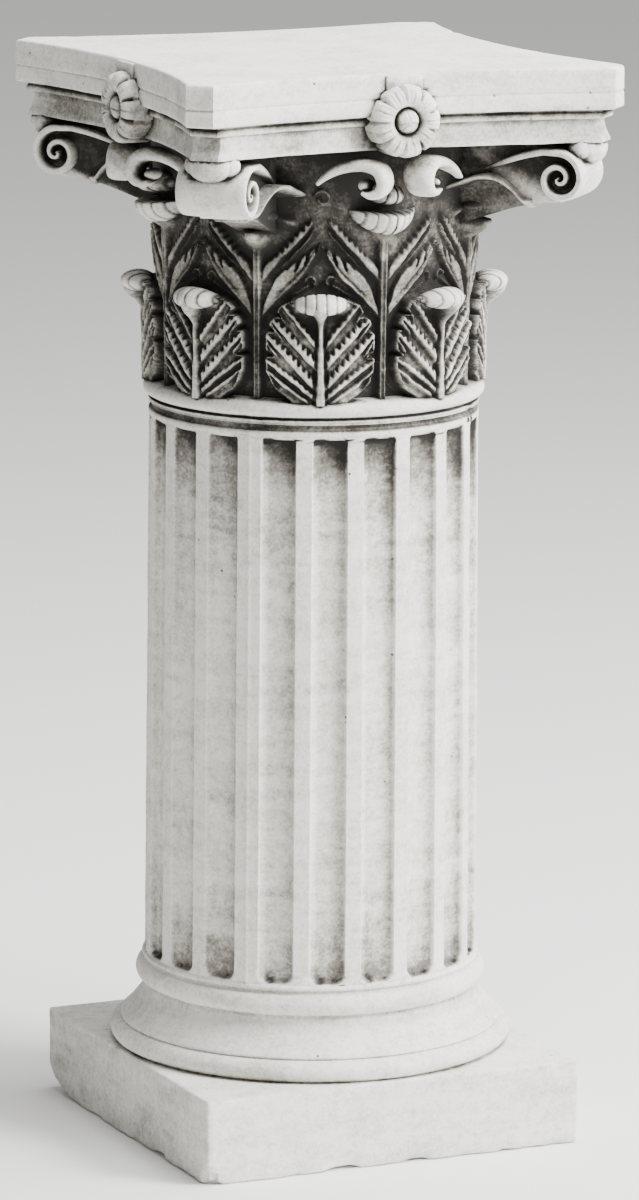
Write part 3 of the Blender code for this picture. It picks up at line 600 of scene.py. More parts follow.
def leaf_shell(name, foot, head, columns, rows):
    """Part of the carved bell between two levels, as a grid that goes round the axis."""
    bm = bmesh.new()
    bmesh.ops.create_grid(bm, x_segments=columns, y_segments=rows, size=0.5)
    for vert in bm.verts:
        angle = SECTOR * (vert.co.x + 0.5)
        height = blend(foot, head, vert.co.y + 0.5)
        radius = capital_radius_mm(angle, (height - LEAF_FOOT) * 1000.0) / 1000.0
        vert.co = (radius * math.cos(angle), radius * math.sin(angle), height)
    mirror_across(bm, "Y")
    copy_round(bm, 4)
    bmesh.ops.remove_doubles(bm, verts=bm.verts, dist=MERGE)
    fill_holes(bm)
    return make_piece(name, bm, ALL_SMOOTH)


def ribbed_tip(bm, place, size, ribs, droop, flat_top, point):
    """The curled tip of a leaf, with ribs that run over its curl and ends drawn to a point."""
    width, depth, tall = size
    groove = bm.verts.layers.float.get("groove") or bm.verts.layers.float.new("groove")
    made = bmesh.ops.create_uvsphere(bm, u_segments=30, v_segments=76, radius=1.0)["verts"]
    bmesh.ops.rotate(bm, cent=(0, 0, 0), matrix=Matrix.Rotation(math.pi / 2, 3, "Y"), verts=made)
    for vert in made:
        x, y, z = vert.co
        off = x * x
        phase = x * ribs / 2 + 0.5 * (ribs + 1)
        frac = phase - math.floor(phase + 0.5)
        cleft = hump(frac, 0.12) * (1.0 - off ** 3)
        swell = 1.0 - 0.11 * cleft - 0.04 * (1.0 - 4.0 * (0.5 - abs(frac)) ** 2)
        swell *= (1.0 - off) ** point
        flat = flat_top if y > 0.0 else 1.0
        vert.co.x = x * width / 2
        vert.co.z = z * swell * depth / 2 - off * depth * 0.42
        vert.co.y = y * swell * flat * tall / 2 - off * tall * droop
        # The groove value darkens the clefts between the ribs and the ends of the tip, as dirt and
        # painted shade
        vert[groove] = 0.65 * cleft + 0.25 * smooth(0.35, 0.95, abs(x)) + 0.04
    bmesh.ops.transform(bm, matrix=place, verts=made)


# Tips of the leaves: reach, height, size, ribs, droop, how full the upper side is, and how soon
# the ends are drawn to a point
LOWER_TIPS = ((0.1295, 0.6325, (0.045, 0.026, 0.0160), 6, 0.05, 1.0, 0.25),)
# On a side, the wide curled tip and the bud that lies on it
FACE_TIPS = ((0.1240, 0.6960, (0.056, 0.038, 0.0300), 9, -0.12, 0.12, 0.30),
             (0.1245, 0.7110, (0.030, 0.036, 0.0165), 5, 0.04, 1.0, 0.05))
CORNER_TIPS = ((0.1350, 0.6975, (0.034, 0.032, 0.0150), 1, 0.20, 1.0, 0.12),)


def tip_ring(name, angles, tips):
    """One piece of all the tips of a kind, which stand at each of the angles."""
    bm = bmesh.new()
    for angle in angles:
        for reach, height, *form in tips:
            ribbed_tip(bm, face_frame(angle, reach, height), *form)
    return make_piece(name, bm, ALL_SMOOTH)


# Volutes, helices, knobs

VOLUTE_CENTRE = (0.1945, 0.7190)
VOLUTE_RADIUS = 0.0224
VOLUTE_STEP = 0.0115
VOLUTE_HALF_WIDTH = 0.0265
VOLUTE_TURNS = 1.78
VOLUTE_START = 0.30
VOLUTE_STATIONS = 78
# The band's arm from the bell outwards, then its half thickness at the bell, top and eye
VOLUTE_ARM = ((0.1205, 0.7145), (0.1330, 0.7205), (0.1480, 0.7275), (0.1660, 0.7340),
              (0.1820, 0.7382))
BAND_HALF = (0.0012, 0.0031, 0.0019)
# The web between the band and the bell: its lower edge, the way back over the top, its half width
WEB_FOOT = ((0.110, 0.680), (0.126, 0.6850), (0.140, 0.6895), (0.158, 0.6955), (0.176, 0.6995),
            (0.194, 0.7010))
WEB_HEAD = ((0.205, 0.712), (0.2065, 0.722), (0.202, 0.734), (0.190, 0.742), (0.150, 0.747),
            (0.110, 0.747))
WEB_HALF = 0.0140
# Edge of the leaf that spreads under a volute, from the bell outwards, in millimetres: distance
# from the axis, distance aside of the corner's plane, height
LEAF_BLADE = ((108.0, 36.0, 708.0), (112.0, 34.5, 710.0), (121.0, 32.0, 713.5), (134.0, 28.5, 718.0),
              (147.0, 25.0, 717.0), (158.0, 22.0, 710.0), (166.0, 19.0, 701.5), (172.0, 15.0, 701.0))
# Centre line of a helix in millimetres from its eye, with its half thickness and half depth
HELIX = ((-34.0, 0.5, 1.4, 3.0), (-28.0, 6.0, 2.6, 5.0), (-19.5, 10.8, 3.6, 8.0),
         (-9.0, 14.0, 4.5, 10.0), (1.0, 14.4, 5.1, 11.5), (9.8, 10.8, 5.6, 12.0),
         (13.4, 2.5, 5.6, 11.5), (10.6, -4.0, 4.7, 10.5), (4.2, -6.4, 3.3, 9.5),
         (-1.5, -4.8, 1.6, 8.0))
HELIX_EYE_HEIGHT = 0.7200
HELIX_REACH = 0.1475
HELIX_ASIDE = 0.0300
HELIX_LEAN = math.radians(38.0)
# Lobes of a knob: place and radii
KNOB_LOBES = (((0.0, 0.0, 0.0), (0.0165, 0.0118, 0.0108)),
              ((0.0125, -0.0002, -0.005), (0.0080, 0.0078, 0.0085)),
              ((-0.0125, -0.0002, -0.005), (0.0080, 0.0078, 0.0085)))
KNOB_REACH = 0.2120
KNOB_HEIGHT = 0.7405


def volute_path():
    """Centre line of the scrolled band: place, outward direction, half thickness, half width."""
    run = curve_through(VOLUTE_ARM, 5)
    stations = []
    for index, (point, normal) in enumerate(zip(run, normals_along(run))):
        share = index / (len(run) - 1)
        half = blend(BAND_HALF[0], BAND_HALF[1], share)
        stations.append((point, normal, half, blend(0.015, VOLUTE_HALF_WIDTH, share)))
    for step in range(1, VOLUTE_STATIONS + 1):
        share = step / VOLUTE_STATIONS
        angle = math.pi / 2 + VOLUTE_START - (math.tau * VOLUTE_TURNS + VOLUTE_START) * share
        far = VOLUTE_RADIUS - VOLUTE_STEP * VOLUTE_TURNS * share
        half = blend(BAND_HALF[1], BAND_HALF[2], share)
        normal = Vector((math.cos(angle), math.sin(angle)))
        place = Vector(VOLUTE_CENTRE) + normal * (far - half)
        stations.append((place, normal, half, VOLUTE_HALF_WIDTH - 0.0016 * share))
    return stations


def upright_point(outward, across, place, aside):
    """A point given by its reach and height on an upright plane, and its distance aside of it."""
    return outward * place[0] + Vector((0.0, 0.0, place[1])) + across * aside


def thick_outline(bm, outward, across, outline, half):
    """A flat form that stands on a corner's plane."""
    verts = [bm.verts.new(upright_point(outward, across, point, -half)) for point in outline]
    face = bm.faces.new(verts)
    raised = bmesh.ops.extrude_face_region(bm, geom=[face])
    upper = [item for item in raised["geom"] if isinstance(item, bmesh.types.BMVert)]
    bmesh.ops.translate(bm, vec=across * 2 * half, verts=upper)


def corner_volutes():
    """The scrolled bands with their eyes, their webs and the leaves that spread under them."""
    bm = bmesh.new()
    outward = Vector((math.cos(SECTOR), math.sin(SECTOR), 0.0))
    across = Vector((0.0, 0.0, 1.0)).cross(outward)
    rings = []
    for place, normal, half, half_wide in volute_path():
        section = round_section(half, half_wide, 0.42, 20)
        rings.append([upright_point(outward, across, place + normal * x, y) for x, y in section])
    skin_rings(bm, rings)
    web = curve_through(WEB_FOOT, 4) + [Vector(point) for point in WEB_HEAD]
    thick_outline(bm, outward, across, web, WEB_HALF)
    rings = []
    for out, edge, up in curve_through(LEAF_BLADE, 5):
        section = [(edge, 1.5), (edge + 0.9, 0.3), (edge, -1.2), (11.0, -5.0)]
        section += [(-aside, rise) for aside, rise in reversed(section)]
        rings.append([upright_point(outward, across, (out / 1000.0, (up + rise) / 1000.0),
                                    aside / 1000.0) for aside, rise in section])
    skin_rings(bm, rings)
    eye = bmesh.ops.create_uvsphere(bm, u_segments=16, v_segments=10, radius=0.0034)["verts"]
    bmesh.ops.scale(bm, vec=(1.0, 1.0, 7.2), verts=eye)
    turn = Matrix((outward, Vector((0, 0, 1)), across)).transposed().to_4x4()
    turn.translation = upright_point(outward, across, VOLUTE_CENTRE, 0.0)
    bmesh.ops.transform(bm, matrix=turn, verts=eye)
    copy_round(bm, 4)
    return make_piece("corner_volutes", bm, 55.0)


def helices():
    """The pair of horn-shaped scrolls under each rosette, turned a little away from each other."""
    bm = bmesh.new()
    path = curve_through([row[:2] for row in HELIX], 6)
    halves = curve_through([row[2:] for row in HELIX], 6)
    place = face_frame(0.0, HELIX_REACH, HELIX_EYE_HEIGHT)
    place = place @ Matrix.Translation((HELIX_ASIDE, 0.0, 0.0))
    place = place @ Matrix.Rotation(HELIX_LEAN, 4, "Y")
    rings = []
    for point, normal, half in zip(path, normals_along(path), halves):
        ring = []
        for x, y in round_section(half.x, half.y, 0.78, 24):
            flat = point + normal * x
            ring.append(place @ (Vector((-flat.x, flat.y, y - half.y + 1.5)) / 1000.0))
        rings.append(ring)
    skin_rings(bm, rings)
    ball = bmesh.ops.create_uvsphere(bm, u_segments=20, v_segments=14, radius=0.0046)["verts"]
    bmesh.ops.scale(bm, vec=(1.15, 0.92, 2.2), verts=ball)
    bmesh.ops.translate(bm, vec=(0.0005, 0.0, -0.0105), verts=ball)
    bmesh.ops.transform(bm, matrix=place, verts=ball)
    mirror_across(bm, "Y")
    copy_round(bm, 4)
    return make_piece("helices", bm, 60.0)


def corner_knobs():
    """A lobed bud between each corner of the slab and its volute."""
    bm = bmesh.new()
    for offset, radii in KNOB_LOBES:
        lobe = bmesh.ops.create_uvsphere(bm, u_segments=24, v_segments=14, radius=1.0)["verts"]
        bmesh.ops.scale(bm, vec=radii, verts=lobe)
        bmesh.ops.translate(bm, vec=offset, verts=lobe)
    bmesh.ops.transform(bm, matrix=face_frame(SECTOR, KNOB_REACH, KNOB_HEIGHT), verts=bm.verts)
    copy_round(bm, 4)
    return make_piece("corner_knobs", bm, ALL_SMOOTH)


# The top slab and its rosettes

def turned_point(angle, out, aside):
    """A point in plan, out along an angle and aside of it."""
    return (out * math.cos(angle) - aside * math.sin(angle),
            out * math.sin(angle) + aside * math.cos(angle))


def abacus_outline(inset):
    """The slab in plan: four hollow sides between four cut corners, with soft ends."""
    half = ABACUS_HALF - inset
    run = half - ABACUS_CORNER_CUT
    bow = (run * run + ABACUS_HOLLOW * ABACUS_HOLLOW) / (2 * ABACUS_HOLLOW)
    corner = math.sqrt(2) * (half - ABACUS_CORNER_CUT / 2)
    steps = 60
    outline = []
    for angle in FACE_ANGLES:
        for step in range(steps + 1):
            aside = blend(-run, run, step / steps)
            out = half - math.sqrt(bow * bow - aside * aside) + (bow - ABACUS_HOLLOW)
            outline.append(turned_point(angle, out, aside))
        for share in (-0.8, -0.4, 0.0, 0.4, 0.8):
            aside = share * ABACUS_CORNER_CUT / math.sqrt(2)
            outline.append(turned_point(angle + SECTOR, corner, aside))
    return outline


# Edge of the slab from its top down, in millimetres: height, then how far in it lies
SLAB_EDGE = [(800.0, 5.0), (799.9, 1.8), (799.4, 0.6), (798.2, 0.1)]
SLAB_EDGE += [(blend(798.2, 783.4, step / 5), 0.1) for step in range(1, 6)]
SLAB_EDGE += [(782.2, 0.3), (781.5, 0.9), (780.8, 0.5), (779.8, 0.1)]
SLAB_EDGE += [(blend(779.8, 770.6, step / 3), 0.05) for step in range(1, 4)]
SLAB_EDGE += [(769.8, 0.4), (769.3, 1.2), (769.1, 3.2), (768.9, 6.4), (767.9, 7.2), (767.2, 6.6)]
SLAB_EDGE += [(765.6, 6.0), (763.6, 6.0), (762.6, 6.5), (762.2, 8.0), (761.6, 10.2)]
SLAB_EDGE += [(760.4, 10.6), (757.4, 10.4), (754.0, 9.7), (750.8, 8.7), (748.0, 7.6)]
SLAB_EDGE += [(746.0, 6.9), (745.2, 7.0), (744.9, 8.0), (745.1, 12.0), (745.3, 20.0)]
SLAB_EDGE += [(745.4, 34.0)]
# Chips off its edges: centre, reach and depth
SLAB_CHIPS = (((0.157, 0.170, TOP), 0.010, 0.0035), ((-0.030, -0.151, TOP), 0.007, 0.0012),
              ((0.166, -0.160, TOP), 0.008, 0.0016), ((-0.168, -0.060, SLAB_FOOT), 0.008, 0.0014),
              ((0.150, 0.090, TOP), 0.009, 0.0018), ((-0.120, 0.166, TOP), 0.008, 0.0020))


def abacus():
    """The slab and the mouldings under its edge, as levels of one outline."""
    bm = bmesh.new()
    rings = []
    for height, inset in SLAB_EDGE:
        outline = abacus_outline(inset / 1000.0)
        rings.append([Vector((x, y, height / 1000.0)) for x, y in outline])
    skin_rings(bm, rings)
    for vert in bm.verts:
        point = vert.co.copy()
        flat = Vector((point.x, point.y, 0.0)).normalized()
        streak = wander((point.x, point.y, point.z * 9.0), 60, 2.0)
        point -= flat * (0.0004 + 0.0003 * streak + 0.0002 * wander(point, 12, 6.0))
        if point.z > 0.79:
            point.z -= 0.0003 * wander_above(point, 40, 3.0)
        if point.z < 0.782:
            point.z += 0.0004 * wander(point, 26, 5.0)
        for centre, reach, depth in SLAB_CHIPS:
            near = (Vector(centre) - point).length
            bite = smooth(reach, reach * 0.4, near * (1.0 + 0.3 * wander(point, 5, 8.0)))
            upwards = 1.0 if centre[2] == TOP else -1.0
            point -= (flat + Vector((0.0, 0.0, upwards))).normalized() * depth * bite
        vert.co = point
    return make_piece("top_slab", bm, 45.0)


# Rings of a rosette from its middle outwards
ROSETTE_RINGS_MM = (0.0, 1.5, 3.0, 4.5, 6.0, 7.2, 8.0, 8.6, 9.0, 9.5, 10.0, 10.6, 11.6, 12.8,
                    14.4, 16.2, 18.0, 19.6, 21.2, 22.4, 23.4, 24.2, 24.9, 25.5, 26.0)
ROSETTE_REACH = 0.1535
ROSETTE_HEIGHT = 0.7660
PETALS = 9
BUTTON_RADIUS_MM = 8.8
# The low block above a rosette
BLOCK_SIZE = (0.029, 0.0155, 0.012)
BLOCK_REACH = 0.1455
BLOCK_HEIGHT = 0.7910


def petal_share(turn):
    """Place across a petal, from nought at its middle to a half at the clefts."""
    phase = turn / math.tau * PETALS
    return phase - math.floor(phase + 0.5)


def rosette_height_mm(rho, turn):
    """Relief of the flower: a button, a sunk ring, then the petals with clefts and fine lines."""
    frac = petal_share(turn)
    edge = 25.8 - 3.0 * smooth(0.30, 0.5, abs(frac))
    button = 6.4 * math.sqrt(max(0.0, 1.0 - (rho / BUTTON_RADIUS_MM) ** 2)) + 1.6
    if rho < BUTTON_RADIUS_MM:
        button -= 0.9 * hump(math.sin(turn * 1.5 + 0.4) * rho, 0.9)
    flat = (rho * math.cos(turn) / 1000.0, rho * math.sin(turn) / 1000.0, 0.0)
    button += 0.5 * wander(flat, 4.0, 2.0)
    outer = (rho - 18.0) / (edge - 17.8) if rho > 18.0 else (rho - 18.0) / 8.2
    lift = 7.6 * math.sqrt(max(0.0, 1.0 - outer * outer))
    if lift > 0.5:
        cleft = 3.2 * hump(0.5 - abs(frac), 0.06) * smooth(13.0, 20.0, rho)
        line = 0.9 * hump(frac, 0.035) * smooth(10.5, 14.0, rho)
        crease = 0.6 * hump(abs(frac) - 0.25, 0.05) * smooth(12.0, 17.0, rho)
        lift -= cleft + line + crease
    return max(button if rho < BUTTON_RADIUS_MM + 0.1 else 0.0, lift, 0.0)


def rosettes():
    """A flower at the middle of each side, and the low block above it."""
    bm = bmesh.new()
    turned(bm, [(rho / 1000.0, 0.0) for rho in ROSETTE_RINGS_MM], 162)
    for vert in bm.verts:
        rho = math.hypot(vert.co.x, vert.co.y) * 1000.0
        turn = math.atan2(vert.co.y, vert.co.x)
        gap = smooth(0.36, 0.5, abs(petal_share(turn)))
        pull = 1.0 - 0.09 * gap * smooth(18.0, 26.0, rho)
        vert.co.x *= pull
        vert.co.y *= pull
        vert.co.z = rosette_height_mm(rho, turn) / 1000.0
    rim = [edge for edge in bm.edges if edge.is_boundary]
    back = bmesh.ops.extrude_edge_only(bm, edges=rim)["geom"]
    rear = [item for item in back if isinstance(item, bmesh.types.BMVert)]
    bmesh.ops.translate(bm, vec=(0.0, 0.0, -0.018), verts=rear)
    fill_holes(bm)
    bmesh.ops.transform(bm, matrix=face_frame(0.0, ROSETTE_REACH, ROSETTE_HEIGHT), verts=bm.verts)
    block = bmesh.ops.create_cube(bm, size=1.0)["verts"]
    bmesh.ops.scale(bm, vec=BLOCK_SIZE, verts=block)
    bmesh.ops.transform(bm, matrix=face_frame(0.0, BLOCK_REACH, BLOCK_HEIGHT), verts=block)
    sides = list({edge for vert in block for edge in vert.link_edges})
    bmesh.ops.bevel(bm, geom=sides, offset=0.0012, segments=2, profile=0.5, affect="EDGES",
                    material=-1)
    copy_round(bm, 4)
    return make_piece("rosettes", bm, 60.0)


# Age and painted shade: how far each point is hidden; close by this darkens the hollows as dirt and
# painted shade, further out it is painted shade

RAYS = 22
NEAR = 0.009
FAR = 0.060
RAY_CLEARANCE = 0.0004
# How much of the hidden share is painted as dirt and shade, 1 where a piece isn't named
DIRT_AND_SHADE_HELD = {"plinth": 0.30, "base_mouldings": 0.36, "fluted_shaft": 0.60, "rosettes": 0.62,
             "corner_knobs": 0.60, "top_slab": 0.85}
# Above this height the rain leaves no dirt
RAIN_WASHED = 0.7990
# Dirt and painted shade on the leaves' tips: the tips are worn clean, and the corner tips, in the shade
# under a volute, are painted darker
TIP_WEAR_AND_SHADE = {"lower_leaf_tips": 0.02, "face_leaf_tips": 0.02, "corner_leaf_tips": 0.50}
# From metres along both axes to millimetres along the diagonal between them
DIAGONAL_MM = 707.1


def store(piece, name, values):
    """Keep a value for each point of a piece, for its material to read."""
    piece.data.attributes.new(name, "FLOAT", "POINT").data.foreach_set("value", values)


def ray_fan():
    """Directions over a half sphere, closer together round its middle."""
    fan = []
    for index in range(RAYS):
        share = (index + 0.5) / RAYS
        out = math.sqrt(share)
        turn = index * math.pi * (3.0 - math.sqrt(5.0))
        fan.append(Vector((out * math.cos(turn), out * math.sin(turn), math.sqrt(1.0 - share))))
    return fan


def hidden_share(tree, place, normal, fan):
    """How much is hidden close by, and how much further out."""
    side = normal.orthogonal().normalized()
    up = normal.cross(side)
    start = place + normal * RAY_CLEARANCE
    near = 0.0
    far = 0.0
    for ray in fan:
        away = side * ray.x + up * ray.y + normal * ray.z
        distance = tree.ray_cast(start, away, FAR)[3]
        if distance is not None:
            far += 1.0 - distance / FAR
            if distance < NEAR:
                near += 1.0 - distance / NEAR
    return near / RAYS, far / RAYS


def canonical(point):
    """The same place in the first eighth of the column."""
    x, y = abs(point.x), abs(point.y)
    return Vector((max(x, y), min(x, y), point.z))


def hidden_dirt_and_shade(pieces):
    """Store on each piece, point by point, how much of it lies hidden, to be painted as dirt and shade.
    """
    points, faces = [], []
    for piece in pieces:
        first = len(points)
        points += [vert.co for vert in piece.data.vertices]
        faces += [[first + index for index in face.vertices] for face in piece.data.polygons]
    tree = BVHTree.FromPolygons(points, faces)
    fan = ray_fan()
    places, shares = [], []
    for piece in pieces:
        for vert in piece.data.vertices:
            if vert.co.x >= 0.0 and -1e-6 <= vert.co.y <= vert.co.x + 1e-6:
                places.append(vert.co)
                shares.append(hidden_share(tree, vert.co, vert.normal, fan))
    lookup = KDTree(len(places))
    for index, place in enumerate(places):
        lookup.insert(place, index)
    lookup.balance()
    for piece in pieces:
        held = DIRT_AND_SHADE_HELD.get(piece.name, 1.0)
        near, far = [], []
        for vert in piece.data.vertices:
            share = shares[lookup.find(canonical(vert.co))[1]]
            kept = 0.0 if vert.co.z > RAIN_WASHED else held
            near.append(share[0] * kept)
            far.append(share[1] * kept)
        store(piece, "near_hidden", near)
        store(piece, "far_hidden", far)


def capital_dirt_and_shade(point):
    """Dirt and painted shade on the carved bell: little on the crests, most in the hollows, and more
    painted shade towards the slab above.
    """
    up = (point.z - LEAF_FOOT) * 1000.0
    relief = math.hypot(point.x, point.y) * 1000.0 - bell_radius_mm(up)
    low_leaf = blend(0.58, 0.39, smooth(6.0, 12.2, relief))
    high_leaf = blend(0.73, 0.57, smooth(0.6, 5.0, relief))
    dirt_and_shade = blend(low_leaf, high_leaf, smooth(62.0, 74.0, up))
    dirt_and_shade = blend(dirt_and_shade, 0.40, smooth(14.0, 20.0, relief))
    # Painted shade with soot darkens the top of the bell under the slab
    return dirt_and_shade + 0.16 * smooth(112.0, 145.0, up)


def scroll_dirt_and_shade(point):
    """Dirt and painted shade at a volute: its band is clean outside, and its inner web, in the shade
    behind the band, is painted nearly black.
    """
    aside = abs(abs(point.x) - abs(point.y)) * DIAGONAL_MM
    out = (abs(point.x) + abs(point.y)) * DIAGONAL_MM
    if aside < 15.0 and out < 186.0:
        return blend(0.10, 0.70, smooth(180.0, 165.0, out))
    if out < 172.0 and (point.z - LEAF_FOOT) * 1000.0 < 156.5:
        return 0.34
    return blend(0.02, 0.34, smooth(172.0, 140.0, out))


def plain_dirt_and_shade(point):
    """Soot and painted shade under the slab's edge, painted shade in the neck, at the astragal and
    under the bead, painted shade on the -X side, smudged dirt on slab and plinth, and little on what
    the rain washes.
    """
    # Painted shade under the slab's edge with soot, and painted shade lines on its fillet, in the neck,
    # at the astragal and under the bead
    under = 0.20 * smooth(0.768, 0.752, point.z) * smooth(0.700, 0.720, point.z)
    fillet = 0.22 * hump(point.z - 0.7650, 0.0035)
    neck = 0.40 * hump(point.z - 0.5425, 0.0055) + 0.10 * hump(point.z - 0.5620, 0.0020)
    bead = 0.30 * hump(point.z - 0.1075, 0.0030)
    streak = wander_above((point.x, point.y, point.z * 3.0), 60, 22.0)
    smudge = wander_above(point, 36, 21.0) * (0.4 + streak)
    below_top = smooth(0.7994, 0.7975, point.z)
    slab = 0.20 * below_top * smooth(0.742, 0.748, point.z) * smudge
    foot = smooth(0.0628, 0.0600, point.z) * (0.12 + 0.16 * smudge)
    # Painted shade: the side facing -X is darker, away from the key light
    painted_left_side_shade = 0.13 * smooth(-0.140, -0.149, point.x) * below_top
    washed = 0.05 * smooth(0.128, 0.118, point.z) + 0.02
    return under + fillet + neck + bead + slab + foot + painted_left_side_shade - washed


def paint_dirt_and_shade(pieces):
    """Store the dirt and painted shade that were seen on each piece, beside what lies hidden."""
    rules = {"lower_leaves": capital_dirt_and_shade, "upper_leaves": capital_dirt_and_shade,
             "corner_volutes": scroll_dirt_and_shade}
    for piece in pieces:
        if piece.name in TIP_WEAR_AND_SHADE:
            grooves = piece.data.attributes["groove"].data
            values = [TIP_WEAR_AND_SHADE[piece.name] + groove.value for groove in grooves]
        else:
            rule = rules.get(piece.name, plain_dirt_and_shade)
            values = [rule(vert.co) for vert in piece.data.vertices]
        store(piece, "dirt_and_shade_wash", values)


def angle_between(first, second):
    """The angle between two directions, at most half a turn."""
    return abs((first - second + math.pi) % math.tau - math.pi)


def shade_shaft(shaft):
    """Dirt and painted shade in the flutes: darker under the neck, painted shade on one side of each
    flute, and mottled dirt again at the foot.
    """
    places = [(angle % math.tau, share) for angle, share in flute_places()]
    values = []
    for vert in shaft.data.vertices:
        turn = math.atan2(vert.co.y, vert.co.x) % math.tau
        share = min(places, key=lambda place: angle_between(place[0], turn))[1]
        cover = smooth(0.02, 0.42, flute_cut(share, vert.co.z))
        low = (vert.co.z - FLUTE_FOOT) * 1000.0
        high = (FLUTE_TOP - vert.co.z) * 1000.0
        side = 0.0 if share is None else share
        # Under the neck the flutes darken with dirt and painted shade, more towards the shaded side
        top_dirt_and_shade = math.exp(-high / 26.0) * (0.50 + 0.45 * side) + 0.14 * math.exp(-high / 90.0)
        foot_dirt = 0.34 * math.exp(-low / 38.0)
        # Painted shade on one side of each flute, where its wall faces away from the light
        painted_side_shade = 0.15 * smooth(0.45, 0.95, side)
        mottle = wander_above((vert.co.x, vert.co.y, vert.co.z * 0.35), 30, 12.0)
        dirt_and_shade = 0.08 + painted_side_shade + top_dirt_and_shade + foot_dirt * (0.5 + mottle) + 0.06 * mottle
        values.append(0.08 + cover * dirt_and_shade)
    store(shaft, "dirt_and_shade_wash", values)


# Finish

# Kinds of node that are used often
MATH = "ShaderNodeMath"
RANGE = "ShaderNodeMapRange"
NOISE = "ShaderNodeTexNoise"
STORED = "ShaderNodeAttribute"
# The stone from clean to blackened by dirt and painted shade, and the inside of an air hole
STONE_TONES = ((0.0, "#E9E6DF"), (0.22, "#CBC8C0"), (0.50, "#858179"), (0.78, "#45423D"),
               (1.0, "#262421"))
PIT_TONE = "#4A4742"
FLOOR_HALF = 30.0
FLOOR_DROP = 0.0002
# Least and most of the sky's strength, and the direction that is brightest, the photo's right
SKY_STRENGTH = (0.05, 0.82)
SKY_BRIGHT_SIDE = (0.87, -0.40, 0.28)
# Soft lights: name, place, size and power
LIGHTS = (("key_light", (2.5, -2.6, 2.5), 1.6, 390.0), ("top_light", (0.6, -0.5, 3.2), 2.0, 190.0))
LIGHTS_AIM = Vector((0.0, 0.0, 0.45))
# The camera as it was fitted to the photo: turn, downward tilt and roll in degrees
CAMERA_ANGLES = (-24.7837, 10.9869, 0.3751)
CAMERA_AIM = Vector((0.0, 0.0, 0.4))
CAMERA_SHIFT = (0.0053, -0.0065)
CAMERA_DISTANCE = 4.8232
SENSOR_MM = 36.0
LENS_MM = 195.71


def stone_colour(code):
    """An sRGB hex colour as the linear values that a shader takes."""
    channels = [int(code[i:i + 2], 16) / 255.0 for i in (1, 3, 5)]
    return tuple(c / 12.92 if c <= 0.04045 else ((c + 0.055) / 1.055) ** 2.4 for c in channels) + (1.0,)


def node(tree, kind, settings=None, links=None):
    """Add a node with its settings and what feeds it: a socket, or a node's first output."""
    added = tree.nodes.new(kind)
    for key, value in (settings or {}).items():
        if isinstance(key, int) or key in added.inputs:
            added.inputs[key].default_value = value
        else:
            setattr(added, key, value)
    for key, source in (links or {}).items():
        socket = source.outputs[0] if isinstance(source, bpy.types.Node) else source
        tree.links.new(socket, added.inputs[key])
    return added


